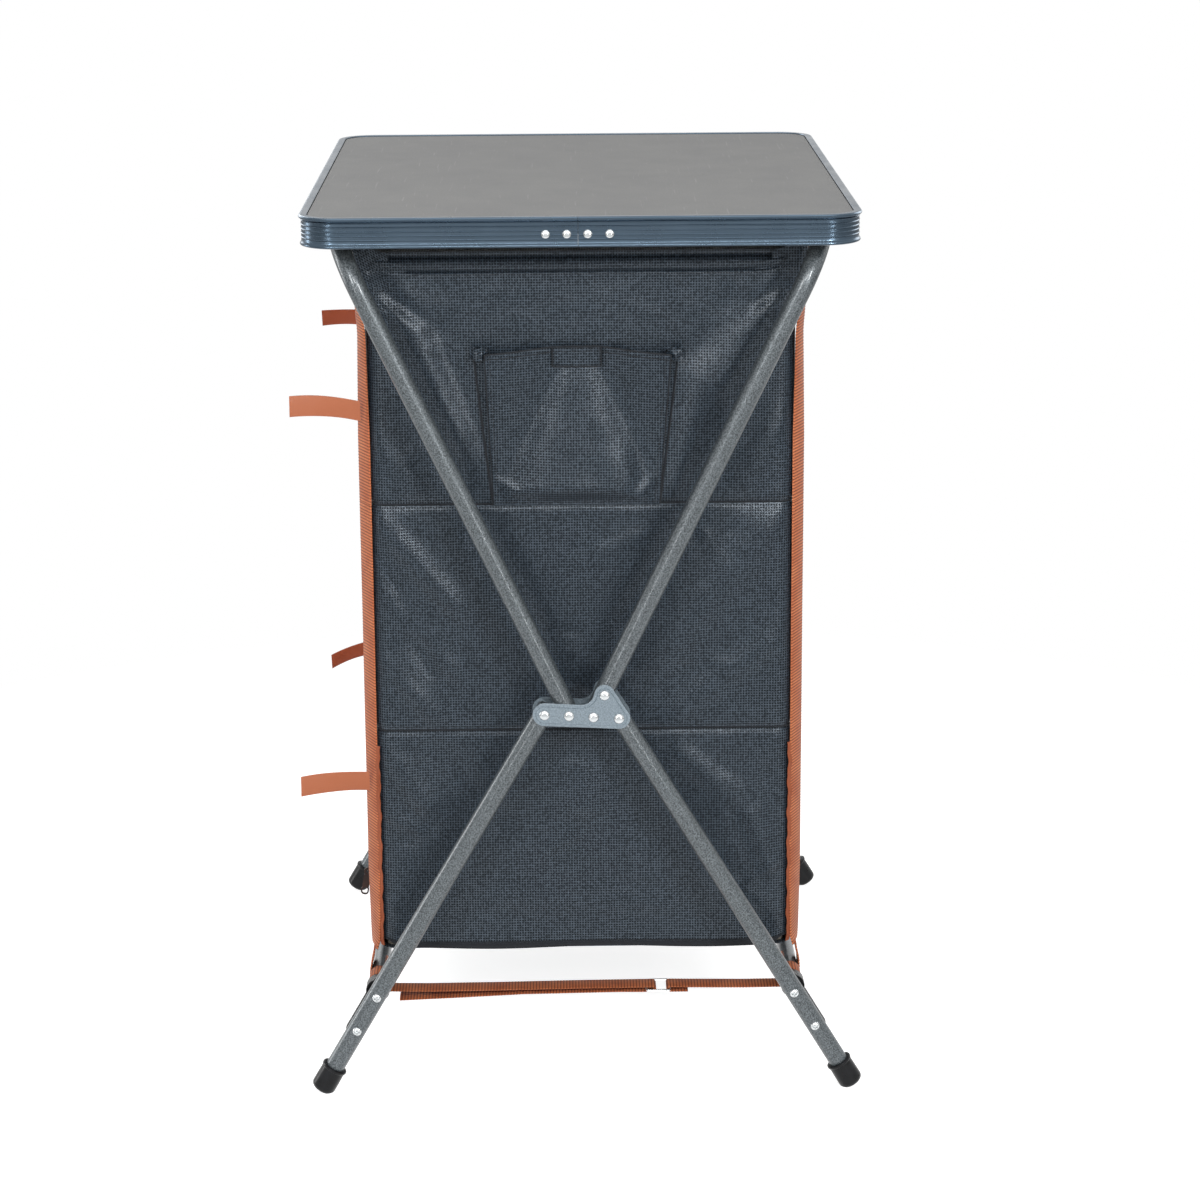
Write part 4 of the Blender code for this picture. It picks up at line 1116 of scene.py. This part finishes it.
def panel(name, label, inset, height, sag):
    """A level cloth panel inside the walls, with rounded corners, that sags a little in the middle."""
    half_x, half_y = CABINET_HALF_X - inset, CABINET_HALF_Y - inset
    columns, rows = (int(2 * half / 0.009) + 1 for half in (half_x, half_y))
    x, y = np.meshgrid(np.linspace(-half_x, half_x, columns), np.linspace(-half_y, half_y, rows))
    u, v = (1 - (c / half) ** 2 for c, half in ((x, half_x), (y, half_y)))
    z = height - sag * np.sqrt(held(u * v))
    z = z + 0.0005 * rumple(x, y, 31, 0.05) * held(u * v * 8)
    reach_x, reach_y = half_x - CABINET_CORNER, half_y - CABINET_CORNER
    over_x, over_y = np.abs(x) - reach_x, np.abs(y) - reach_y
    corner = (over_x > 0) & (over_y > 0)
    pull = np.where(corner, np.maximum(over_x, over_y) / np.maximum(np.hypot(over_x, over_y), 1e-9), 1.0)
    x = np.where(corner, np.sign(x) * (reach_x + over_x * pull), x)
    y = np.where(corner, np.sign(y) * (reach_y + over_y * pull), y)
    points = np.stack([x, y, z], axis=-1)
    return cloth_piece(name, points, points[..., :2], label)


def front_panel(name, x_span, z_span, y, swell=0.0006, seed=41, step=0.006, thickness=CLOTH, flat=0.0,
                finish="cloth"):
    """An upright cloth panel on the door side that looks towards -Y."""
    columns, rows = (int((span[1] - span[0]) / step) + 2 for span in (x_span, z_span))
    x, z = np.meshgrid(np.linspace(*x_span, columns), np.linspace(*z_span, rows))
    inside = np.minimum.reduce([x - x_span[0], x_span[1] - x, z - z_span[0], z_span[1] - z])
    edge = held((inside - flat) / (0.012 + flat))
    out = swell * (0.5 + 0.5 * rumple(x, z * 0.7, seed, 0.055)) * edge
    return grid_cloth(name, np.stack([x, y - out, z], axis=-1), np.stack([x, z], axis=-1), finish, thickness)


def zip_tape(name, x_span, z_span, y):
    return front_panel(name, x_span, z_span, y, 0.0, step=0.004, thickness=0.0006, finish="dark tape")


def wall_tape(name, label, low, width, stand):
    """A narrow tape round the walls, just proud of them."""
    bulge = stand * np.array([0.3, 1.0, 1.0, 0.3])[:, None]
    surface = wall_surface(label, wall_columns(0.006), np.linspace(low, low + width, 4), bulge)
    cloth_piece(name, *surface, label, finish="dark tape")


def wall_stitches(name, label, height, out=0.0002):
    columns = wall_columns(0.008)
    points, _ = wall_surface(label, columns, [height], out)
    line = [(Vector(point), (nx, ny, 0.0)) for point, nx, ny in zip(points[0], *columns[3:])]
    stitching(name, [line], TIERS[label][0], flat_anchor(label))


def cabinet():
    for label in TIERS:
        tier_walls(label)
        piece = panel(f"floor_{label}", label, 0.0012, TIERS[label][1] + 0.0015, sag=0.0)
        coat_solid(f"shelf_board_{label}", "board")
    wall_tape("hem_lower", "lower", CABINET_BOTTOM, 0.0075, 0.0007)
    wall_tape("seam_middle", "middle", SHELF_MIDDLE, 0.0016, 0.0005)
    wall_tape("seam_upper", "upper", SHELF_UPPER, 0.0016, 0.0005)
    wall_stitches("stitches_lower", "lower", CABINET_BOTTOM + 0.0062, 0.0008)
    wall_stitches("stitches_middle", "middle", SHELF_MIDDLE + 0.0042)
    wall_stitches("stitches_upper", "upper", SHELF_UPPER + 0.0042)
    piece = panel("roof", "upper", 0.0008, CABINET_TOP - 0.0004, sag=0.003)
    width, front = (-FRONT_SEAM_X, FRONT_SEAM_X), -CABINET_HALF_Y + 0.0003
    sill = front_panel("sill", width, (CABINET_BOTTOM + 0.002, SILL_TOP), front)
    piece = sewn("sill", sill, "cloth", "lower")
    header = front_panel("header", width, (DOORWAY_TOP - 0.002, CABINET_TOP + HEM_RISE), front)
    piece = sewn("header", header, "cloth", "upper")


def doors():
    """Zipped flaps, gently wrinkled, with taped edges and a run of coil teeth."""
    door_y = -CABINET_HALF_Y - 0.0013
    flatten = ((0, 0, 1), (0, 0, SHELF_MIDDLE))
    z_span = low, high = SILL_TOP + 0.002, DOORWAY_TOP + 0.008
    for end, side in ENDS.items():
        body = f"{end}_door"
        x_span = sorted((side * 0.0006, side * DOOR_HINGE_X))
        made = front_panel(f"flap_{end}", x_span, z_span, door_y, 0.0046, 51 + side, thickness=0.0008,
                           flat=0.0145)
        piece = add_piece(f"flap_{end}", made, "cloth", body, [f"door_{end}"], flatten)
        tape_span = sorted((side * 0.0010, side * 0.0130))
        tape = zip_tape(f"zip_tape_{end}", tape_span, z_span, door_y - 0.0006)
        add_piece(f"zip_tape_{end}", tape, "dark tape", body, flatten=flatten)
        teeth = [(side * 0.0024, door_y - 0.0010, z) for z in np.linspace(low, high, 40)]
        zip_coil(f"zip_coil_{end}", teeth, body, flatten)
        heights = (low + 0.004, high - 0.004)
        lines = [facing_line([(side * x, door_y - out, z) for z in heights], TOWARDS_DOORS)
                 for x, out in ((0.0120, 0.0008), (FRONT_SEAM_X, 0.0004))]
        stitching(f"door_stitches_{end}", lines, body, flatten)
    tape_span = (-FRONT_SEAM_X, FRONT_SEAM_X)
    tape = zip_tape("sill_zip_tape", tape_span, (0.1930, 0.2046), -CABINET_HALF_Y - 0.0003)
    sewn("sill_zip_tape", tape, "dark tape", "lower")
    teeth = [(x, -CABINET_HALF_Y - 0.0008, ZIP_Z) for x in np.linspace(-0.179, 0.179, 40)]
    zip_coil("sill_zip_coil", teeth, "tier_lower", flat_anchor("lower"))
    for end, side in ENDS.items():
        zip_slider(end, side)


def zip_slider(end, side):
    """Cast slider with its bridge, and a flat pull tab with two openings that hangs from it."""
    x, middle_z = side * 0.183, 0.19875
    back = -CABINET_HALF_Y - 0.0026
    front = back - 0.0022
    outline = rounded_rectangle(0.0040, 0.00575, 0.0018, 6)
    levels = ((0.0003, back), (0.0, back - 0.0004), (0.0, front), (0.0006, back - 0.0028))
    shapes = [lofted([[(x + a, y, middle_z + b) for a, b in inset_outline(outline, inset)]
                      for inset, y in levels])]
    arch = [Vector((x, front - 0.0022 * math.sin(t), middle_z - 0.00375 * math.cos(t)))
            for t in np.linspace(0.2, math.pi - 0.2, 9)]
    shapes.append(wire([Vector((x, front, 0.1950)), *arch, Vector((x, front, 0.2025))], 0.0007, 8))
    tab_middle, lean = (back - 0.0106, 0.1800), math.radians(10)

    def on_tab(across, along, half_thick):
        """A place on the pull tab, which hangs a little outwards."""
        y = tab_middle[0] + across * math.cos(lean) + along * math.sin(lean)
        return (x + half_thick, y, tab_middle[1] - across * math.sin(lean) + along * math.cos(lean))

    for middle, half, hole_half in ((0.0100, 0.0038, (0.0017, 0.0019)), (-0.0096, 0.0042, (0.0024, 0.0028))):
        cell = rounded_rectangle(0.0038, half, 0.0034, 8)
        hole = rounded_rectangle(*hole_half, 0.0016, 8)
        shape = bmesh.new()
        rings = [[shape.verts.new(on_tab(a, middle + b, half_x)) for a, b in edge]
                 for edge, half_x in ((cell, 0.0008), (hole, 0.0008), (hole, -0.0008), (cell, -0.0008))]
        bridge(shape, rings, True)
        shapes.append(shape)
    neck = rounded_rectangle(0.0033, 0.0064, 0.0004, 3)
    shapes.append(lofted([[on_tab(a, b + 0.0003, half_x) for a, b in neck] for half_x in (0.0009, -0.0009)]))
    link_top, link_low = Vector((x, back - 0.0036, 0.1975)), Vector(on_tab(0.0, 0.0108, 0.0))
    middle, reach = (link_top + link_low) / 2, (link_low - link_top) / 2
    turns = np.linspace(0, 2 * math.pi, 16, endpoint=False)
    link = [middle + reach * (1.15 * math.cos(t)) + Vector((0.0022 * math.sin(t), 0.0, 0.0)) for t in turns]
    shapes.append(wire(link, 0.0007, 8, True))
    add_piece(f"slider_{end}", joined(*shapes), "pull", f"{end}_zip", [f"zip_slider_{end}"],
              flat_anchor("lower"))


# Pocket


def pocket():
    """Flat pocket on the near side: side pleats, a hemmed mouth and a fold like an upturned V."""
    wall = CABINET_HALF_X + 0.0004
    rows, columns = 61, 81
    v = np.linspace(0.0, 1.0, rows)[:, None]
    u = np.linspace(-1.0, 1.0, columns)[None, :]
    left, right = -0.0812 - 0.0066 * v, 0.0713 + 0.0103 * v
    y = left + (right - left) * (u + 1) / 2
    mouth_z = np.interp(y[-1], (-0.088, -0.030, 0.018, 0.082), (0.7040, 0.7090, 0.7090, 0.7026))[None, :]
    low = 0.5605
    z = low + (mouth_z - low) * v
    edge = np.abs(u - 0.02) - (1.10 - v) * 0.90
    corner_out = 0.0125 * v ** 0.9 * eased(held(edge / 0.80 + 0.06))
    tent = eased(held(1 - (np.abs(u - 0.02) / ((1.10 - v) * 0.96)) ** 2))
    seam = eased(held(v / 0.12))
    side_seam = held((1 - np.abs(u)) / 0.10)
    x = wall + 0.0022 + 0.0012 * v + corner_out + seam * 0.0135 * tent * held(1.02 - v)
    x = x - 0.0014 * bump_along(edge - 0.08, 0.22) * side_seam * seam
    x = x + 0.0009 * rumple(y, z, 71, 0.028) * side_seam * seam
    for fold in POCKET_FOLDS:
        x = x + crease(y, z, fold)
    hem_drop = mouth_z - z - 0.0055
    x = x - 0.0007 * bump_along(hem_drop, 0.0011) + 0.0005 * (hem_drop < 0)
    points = np.stack([x, y, z], axis=-1)
    piece = cloth_piece("pocket_front", points, points[..., 1:], "upper", 0.0010, ["side_pocket"])
    steps = np.linspace(0.0, 1.0, 15)[None, :]
    for side, word, column, flare in ((-1, "left", 0, 0.0105), (1, "right", -1, 0.0072)):
        edge_x, edge_y, edge_z = (values[:, column][:, None] for values in (x, y, z))
        behind = 0.0060 * np.sin(steps * math.pi) * (0.2 + 0.8 * v)
        pleat_x = edge_x - (edge_x - wall - 0.0009) * steps ** 0.8
        pleat_y = edge_y + side * (flare * (0.06 + 0.94 * v ** 0.9) * steps ** 2 - behind)
        pleat_z = edge_z + 0.0040 * np.sin(steps * math.pi) * v ** 7
        pleat = np.stack([pleat_x, pleat_y, pleat_z], axis=-1)
        seam_line = [Vector((wall + 0.0009, *row[-1, 1:])) for row in pleat]
        if side < 0:
            pleat = pleat[:, ::-1]
        cloth_piece(f"pocket_pleat_{word}", pleat, pleat[..., 1:], "upper", 0.0006)
        edge_line = [Vector(point) - Vector((0.0004, 0.0, 0.0)) for point in points[:, column]]
        piping = joined(wire(seam_line, 0.0011, 8), wire(edge_line, 0.0008, 8))
        sewn(f"pocket_binding_{word}", piping, "dark tape", "upper")
        ear(word, Vector(points[-1, column]), side)
    mouth = [Vector(point) + Vector((0.0001, 0.0, 0.0)) for point in points[-1]]
    hem = [Vector(point) - Vector((0.0001, 0.0, 0.0)) for point in points[int(rows * 0.958)]]
    sewn("pocket_hem_lines", joined(wire(mouth, 0.0007, 6), wire(hem, 0.0005, 6)), "dark tape", "upper")
    lines = [facing_line(line + (0.0002, 0.0, 0.0), TOWARDS_NEAR)
             for line in (points[1, 1:-1], points[1:, 2], points[1:, -3])]
    stitching("pocket_stitches", lines, "tier_upper", flat_anchor("upper"), pitch=0.0036, length=0.0026,
              width=0.0009, rise=0.0009)
    tab()


def ear(word, corner, side):
    """Crumpled end of the hem where a side pleat is gathered at the mouth."""
    across, up = np.meshgrid(np.linspace(0.0025, -0.0135, 19), np.linspace(-0.0060, 0.0062, 15))
    y = corner.y - side * across
    z = corner.z + up + 0.0012 * np.cos(across * 500)
    fade = held((0.0090 - np.abs(across + 0.0055)) / 0.004)
    x = corner.x - 0.0055 + 0.0035 * fade * (0.7 + 0.6 * rumple(y, z, 81 + side, 0.0050))
    x = x - 0.0035 * held((-across - 0.004) / 0.009)
    points = np.stack([x, y, z], axis=-1)
    if side < 0:
        points = points[:, ::-1]
    cloth_piece(f"pocket_ear_{word}", points, np.stack([y, z], axis=-1), "upper", 0.0008)


def tab():
    """Hook-and-loop tab sewn over the mouth of the pocket, with a double row of stitches at its top."""
    low, high = 0.6905, 0.7095
    y, z = np.meshgrid(np.linspace(-0.0265, 0.0185, 17), np.linspace(low, high, 11))
    x = CABINET_HALF_X + 0.0062 + 0.0006 * rumple(y, z, 77, 0.02)
    points = np.stack([x, y, z], axis=-1)
    cloth_piece("pocket_tab", points, points[..., 1:], "upper", 0.0012)
    left, right, out = -0.0247, 0.0167, CABINET_HALF_X + 0.0066
    # The dark wire round the tab is painted shade: it draws the shadow along the tab's edge.
    shade_outline = rounded_rectangle((right - left) / 2 + 0.0016, (high - low) / 2 - 0.0004, 0.0008, 3)
    edge = [Vector((out, a + (left + right) / 2, b + (low + high) / 2)) for a, b in shade_outline]
    sewn("pocket_tab_edge", wire(edge, 0.0006, 6, True), "dark tape", "upper")
    box = [(left, low + 0.002), (right, low + 0.002), (right, high - 0.0015), (left, high - 0.0015),
           (left, low + 0.002)]
    lines = [facing_line([(out + 0.0003, a, b) for a, b in line], TOWARDS_NEAR)
             for line in (box, [(left, high - 0.0045), (right, high - 0.0045)])]
    stitching("tab_stitches", lines, "tier_upper", flat_anchor("upper"))


# Webbing, straps and ties


def unit_rows(rows):
    return rows / np.linalg.norm(rows, axis=1)[:, None]


def strap(name, path, across, width, thickness, finish, rib=0.00015, step=RIB_PITCH):
    """A flat woven strap along a path; every second row is thinner, which gives the ribs of the weave.

    across is the direction of the width, one for all or one for each point of the path.
    """
    path = np.array(path, float)
    across = np.broadcast_to(np.array(across, float), path.shape)
    run = np.concatenate([[0.0], np.cumsum(np.linalg.norm(np.diff(path, axis=0), axis=1))])
    s = np.linspace(0.0, run[-1], max(int(round(run[-1] / step)), 2) + 1)
    centre, sideways = (np.stack([np.interp(s, run, column) for column in values.T], axis=-1)
                        for values in (path, across))
    along = unit_rows(np.gradient(centre, axis=0))
    sideways = unit_rows(sideways)
    face = unit_rows(np.cross(sideways, along))
    half = thickness / 2 + rib * np.where(np.arange(len(s)) % 2 == 0, 1.0, -1.0)
    outline = ((-0.5, 0.0), (-0.49, 0.62), (-0.46, 1.0), (0.0, 1.0), (0.46, 1.0), (0.49, 0.62), (0.5, 0.0),
               (0.49, -0.62), (0.46, -1.0), (0.0, -1.0), (-0.46, -1.0), (-0.49, -0.62))
    rings = np.stack([centre + sideways * (a * width) + face * (b * half)[:, None] for a, b in outline],
                     axis=1)
    index = np.arange(len(s) * len(outline)).reshape(-1, len(outline))
    following = np.roll(index, -1, axis=1)
    faces = np.stack([index[:-1], following[:-1], following[1:], index[1:]], axis=-1).reshape(-1, 4)
    ends = [index[0].tolist()[::-1], index[-1].tolist()]
    mesh = bpy.data.meshes.new(name)
    mesh.from_pydata(rings.reshape(-1, 3).tolist(), [], faces.tolist() + ends)
    across_cloth = np.array([a * width for a, _ in outline])
    places = np.stack(np.broadcast_arrays(across_cloth, s[:, None]), axis=-1)
    cloth_map(mesh, places, np.concatenate([faces.reshape(-1), np.array(ends).reshape(-1)]))
    shape = bmesh.new()
    shape.from_mesh(mesh)
    bpy.data.meshes.remove(mesh)
    return mesh_of(name, shape, finish, 50)


def webbing(name, path, across, body, replaces=(), flatten=None):
    made = strap(name, path, across, WEBBING_WIDTH, WEBBING_THICKNESS, "webbing")
    add_piece(name, made, "webbing", body, replaces, flatten)


def webbing_outward(height):
    """Distance of the webbing from the middle plane: close to the cloth, and out to the bars at both ends."""
    heights = (0.100, 0.112, 0.128, 0.450, 0.720, 0.790)
    outwards = (0.2068, 0.2036, 0.2012, WEBBING_OUTWARD, WEBBING_OUTWARD, 0.2085)
    return float(np.interp(height, heights, outwards))


def webbing_run(side, sign_y, low, high):
    """Places and width directions of the hanging part, which is turned about its length between the bars."""
    places, across = [], []
    for height in np.linspace(low, high, max(int((high - low) / 0.008), 3)):
        share = np.interp(height, (0.106, 0.130, 0.200, 0.620, 0.740, 0.762), (0.0, 0.75, 1.0, 1.0, 0.6, 0.0))
        turn = WEBBING_TWIST * float(share)
        waver = 0.0004 * math.sin(height * 37 + side)
        places.append((side * (WEBBING_X + waver), sign_y * webbing_outward(height), height))
        across.append((side * math.cos(turn), -sign_y * math.sin(turn), 0.0))
    return places, across


def corner_webbing(end, side, place, sign_y):
    """Webbing of one corner: loops on the top and lower bars, and a hanging part on each level."""
    flat = (side, 0.0, 0.0)
    carrier = f"{place}_frame"
    for label, (body, low, high) in TIERS.items():
        low = CABINET_BOTTOM - 0.001 if label == "lower" else low
        high = WEBBING_TOP if label == "upper" else high
        places, across = webbing_run(side, sign_y, low, high)
        webbing(f"webbing_{label}_{place}_{end}", places, across, body, flatten=flat_anchor(label))
    clearance = 0.0005 + WEBBING_THICKNESS / 2
    around = arc((top_bar_outward(place), TOP_BAR_Z), TUBE_RADIUS + clearance, 190, -30, 24)
    ring = [(side * WEBBING_X, sign_y * y, z) for y, z in around]
    y, z = webbing_outward(WEBBING_TOP), WEBBING_TOP
    path = [(side * WEBBING_X, sign_y * (y + (around[0][0] - y) * t), z + (around[0][1] - z) * t)
            for t in (0.0, 0.4, 0.8)]
    tail_anchor = ((0, 0, 1), (0, 0, ring[0][2]))
    webbing(f"webbing_tail_{place}_{end}", path + ring[:1], flat, carrier, flatten=tail_anchor)
    webbing(f"webbing_top_{place}_{end}", ring, flat, carrier, [f"webbing_{place}_{end}"])
    bar = (abs(lower_bar_place(place)[0]), LOWER_BAR_Z)
    around = arc(bar, LOWER_BAR_RADIUS + clearance, 120, 360, 26)
    around += [(webbing_outward(z), z) for z in (0.106, 0.114, CABINET_BOTTOM)]
    path = [(side * WEBBING_X, sign_y * y, z) for y, z in around]
    webbing(f"webbing_foot_{place}_{end}", path, flat, f"{place}_legs")
    edge_binding(end, side, place, sign_y)


def edge_binding(end, side, place, sign_y):
    """Narrow wavy binding that shows between the webbing and the lower cabinet panel."""
    path = []
    for height in np.linspace(0.126, 0.326, 60):
        wave = 0.0005 * math.sin(height * 190) + 0.0004 * math.sin(height * 431 + 1.3)
        path.append((side * (CABINET_HALF_X - 0.0030), sign_y * (CABINET_HALF_Y - 0.0024 + wave), height))
    name = f"binding_{place}_{end}"
    across = (side * 0.70, sign_y * -0.70, 0.0)
    sewn(name, strap(name, path, across, 0.0046, 0.0012, "red tape", 0.0001, 0.0016), "red tape", "lower")


def cross_straps():
    """Straps between the lower bars: one with a free tail, one sewn to the buckle."""
    radius = LOWER_BAR_RADIUS + 0.0003 + STRAP_THICKNESS / 2
    far_wire, loop = BUCKLE_Y + BUCKLE_OPENING, 0.0023
    front = arc(lower_bar_place("front"), radius, 60, 270, 24)
    front += [(-0.150, 0.0872), (-0.080, 0.0876), (0.0, 0.0886), (0.045, 0.0888)]
    front += arc((BUCKLE_Y, BUCKLE_Z), loop, 90, -90, 10)
    front += [(0.030, 0.0846), (-0.060, 0.0835), (-0.120, 0.0808), (-0.178, 0.0785)]
    rear = arc(lower_bar_place("rear"), radius, 120, -90, 24)
    rear += [(0.150, 0.0878), (0.110, 0.0884)]
    rear += [(2 * far_wire - y, z) for y, z in arc((far_wire, BUCKLE_Z), loop, 90, -90, 10)]
    rear += [(far_wire + 0.018, BUCKLE_Z - loop)]
    for end, side in ENDS.items():
        for place, path in (("front", front), ("rear", rear)):
            name = f"cross_strap_{place}_{end}"
            flatten = ((0, 1, 0), (0, lower_bar_place(place)[0], LOWER_BAR_Z))
            places = [(side * STRAP_X, y, z) for y, z in path]
            made = strap(name, places, (side, 0.0, 0.0), STRAP_WIDTH, STRAP_THICKNESS, "strap", 0.0001)
            add_piece(name, made, "strap", f"{place}_legs", [f"strap_{place}_{end}"], flatten)
        buckle(end, side, flatten)


def buckle(end, side, flatten):
    """Flat wire frame with a middle bar."""
    x, half_x, radius = side * STRAP_X, 0.013, 0.0014
    middle_y = BUCKLE_Y + (BUCKLE_OPENING - BUCKLE_PITCH) / 2
    outline = rounded_rectangle(half_x, (BUCKLE_PITCH + BUCKLE_OPENING) / 2, 0.0022, 6)
    ring = wire([Vector((x + a, middle_y + b, BUCKLE_Z)) for a, b in outline], radius, 12, True)
    bar = wire([Vector((x + half, BUCKLE_Y, BUCKLE_Z)) for half in (-half_x, half_x)], radius)
    add_piece(f"buckle_{end}", joined(ring, bar), "chrome", "rear_legs", [f"strap_buckle_{end}"], flatten)


def ties():
    """Satin ribbons sewn to the front corners that stand forward and curl a little."""
    ribbons = (("near", "upper", (0.648, 0.652, 0.654, 0.653)),
               ("near", "lower", (0.2900, 0.2905, 0.2885, 0.2850)),
               ("far", "upper", (0.656, 0.659, 0.660, 0.659)),
               ("far", "lower", (0.300, 0.298, 0.291, 0.282)))
    start, reach = -0.2030, -0.2680
    shares = np.linspace(0.0, 1.0, 24)
    for end, label, heights in ribbons:
        side = ENDS[end]
        # The far ties take the darker copy of the ribbon finish, which is painted shade.
        tilt, finish = (0.04, "ribbon") if end == "near" else (0.42, "far ribbon in painted shade")
        curve = np.polyfit((0.0, 0.3, 0.7, 1.0), heights, 3)
        path = [(side * (0.208 + 0.0012 * math.sin(3.0 * t)), start + (reach - start) * t,
                 np.polyval(curve, t)) for t in shares]
        lean = [(tilt + 0.10 * math.sin(4.0 * t + side), 0.0, 1.0) for t in shares]
        name = f"ribbon_{label}_{end}"
        made = strap(name, path, lean, 0.0195, 0.0006, finish, 0.0, 0.0025)
        sewn(name, made, finish, label, [f"tie_{label}_{end}"])


# Stage


def camera():
    """The photograph's view: from the pocket end, a little above the table."""
    # Solved from the corners, seams, hub and feet in the photograph; angles in radians, lens in mm
    place, lens = Vector((2.9336, -0.02386, 1.23494)), 90.907
    turn, pitch, roll = 0.01487, 0.24337, -0.00604
    forward = Vector((-math.cos(turn) * math.cos(pitch), math.sin(turn) * math.cos(pitch), -math.sin(pitch)))
    level_right = Vector((math.sin(turn), math.cos(turn), 0.0))
    level_up = level_right.cross(forward)
    right = math.cos(roll) * level_right + math.sin(roll) * level_up
    up = math.cos(roll) * level_up - math.sin(roll) * level_right
    data = bpy.data.cameras.new("camera")
    data.sensor_width = 36.0
    data.lens = lens
    data.shift_y = -0.08
    data.dof.use_dof = False
    matrix = Matrix((right, up, -forward)).transposed().to_4x4()
    matrix.translation = place
    made = linked("camera", data)
    made.matrix_world = matrix
    bpy.context.scene.camera = made


def lamp(name, place, target, size, power):
    data = bpy.data.lights.new(name, "AREA")
    data.shape = "RECTANGLE"
    data.size, data.size_y = size
    data.energy = power
    made = linked(name, data)
    made.location = place
    made.visible_camera = False
    made.rotation_euler = (Vector(target) - Vector(place)).to_track_quat("-Z", "Y").to_euler()


def bare_tree(owner):
    """The emptied node tree of a material or a world."""
    owner.use_nodes = True
    owner.node_tree.nodes.clear()
    return owner.node_tree


def seen_share(tree, path):
    """1 where the camera looks, straight, in a mirror or through glass; 0 where only light arrives."""
    mirrored = maths(tree, "MAXIMUM", path["Is Glossy Ray"], path["Is Transmission Ray"])
    return maths(tree, "MAXIMUM", path["Is Camera Ray"], mirrored)


def white_light(tree, kind, strength):
    return node(tree, kind, {"Color": (1.0, 1.0, 1.0, 1.0), "Strength": strength}).outputs[0]


def mixed(tree, share, first, second):
    return node(tree, "ShaderNodeMixShader", {0: share, 1: first, 2: second}).outputs[0]


def studio_floor():
    """White floor that keeps the shadow near the cupboard and turns plain white further away."""
    sheet = bmesh.new()
    bmesh.ops.create_grid(sheet, x_segments=1, y_segments=1, size=6.0)
    mesh = bpy.data.meshes.new("floor")
    sheet.to_mesh(mesh)
    sheet.free()
    floor = linked("floor", mesh)
    material = bpy.data.materials.new("white studio floor")
    tree = bare_tree(material)
    path = node(tree, "ShaderNodeLightPath").outputs
    seen = seen_share(tree, path)
    place = node(tree, "ShaderNodeTexCoord").outputs["Object"]
    matt = node(tree, "ShaderNodeBsdfDiffuse", {"Color": hex_colour("d8d8d8")}).outputs[0]
    glow = white_light(tree, "ShaderNodeEmission", maths(tree, "MULTIPLY", seen, 0.78))
    near_floor = node(tree, "ShaderNodeAddShader", {0: matt, 1: glow}).outputs[0]
    # To both sides the floor mirrors darker, like the edge of a studio, which gives metal its dark edges.
    split = node(tree, "ShaderNodeSeparateXYZ", {0: place})
    dim = spread(tree, maths(tree, "ABSOLUTE", split.outputs["Y"]), 0.9, 2.2, 0.0, 0.62)
    level = maths(tree, "SUBTRACT", 1.0, maths(tree, "MULTIPLY", dim, path["Is Glossy Ray"]))
    white = white_light(tree, "ShaderNodeEmission", level)
    reach = node(tree, "ShaderNodeVectorMath", {0: place}, operation="LENGTH").outputs["Value"]
    share = maths(tree, "MULTIPLY", spread(tree, reach, 0.55, 1.3), seen)
    node(tree, "ShaderNodeOutputMaterial", {"Surface": mixed(tree, share, near_floor, white)})
    floor.data.materials.append(material)


def surround():
    """A world that looks white but lights only a little, so that the lamps shape the cupboard."""
    world = bpy.data.worlds.new("studio")
    bpy.context.scene.world = world
    tree = bare_tree(world)
    light, white = (white_light(tree, "ShaderNodeBackground", strength) for strength in (0.14, 1.0))
    seen = seen_share(tree, node(tree, "ShaderNodeLightPath").outputs)
    node(tree, "ShaderNodeOutputWorld", {"Surface": mixed(tree, seen, light, white)})


def stage():
    """White floor, white surround and soft studio lamps."""
    studio_floor()
    surround()
    lamp("left softbox", (2.50, -1.15, 1.60), (0.2, 0.0, 0.62), (0.4, 0.8), 23.0)
    lamp("right softbox", (2.50, 1.15, 1.60), (0.2, 0.0, 0.62), (0.4, 0.8), 37.0)
    lamp("front softbox", (2.90, 0.0, 2.05), (0.2, 0.0, 0.45), (0.9, 0.5), 20.0)
    lamp("left strip", (2.43, -1.33, 0.45), (0.3, -0.2, 0.80), (0.10, 0.5), 3.6)
    lamp("right strip", (2.43, 1.33, 0.45), (0.3, 0.2, 0.80), (0.10, 0.5), 3.6)
    lamp("left edge strip", (-0.30, -2.20, 0.60), (0.2, 0.0, 0.45), (0.3, 1.2), 12.0)
    lamp("top", (0.2, 0.0, 3.0), (0.0, 0.0, 0.6), (2.2, 2.2), 24.0)
    lamp("rear left", (-2.4, -1.6, 1.9), (0.0, 0.0, 0.5), (1.6, 1.6), 30.0)
    lamp("rear right", (-2.0, 2.2, 1.9), (0.0, 0.0, 0.5), (1.6, 1.6), 30.0)
    bpy.context.scene.view_settings.view_transform = "Standard"


camera()
stage()
table()
steel_frame()
cabinet()
corner_ears()
doors()
pocket()
for corner in CORNERS:
    corner_webbing(*corner)
cross_straps()
ties()
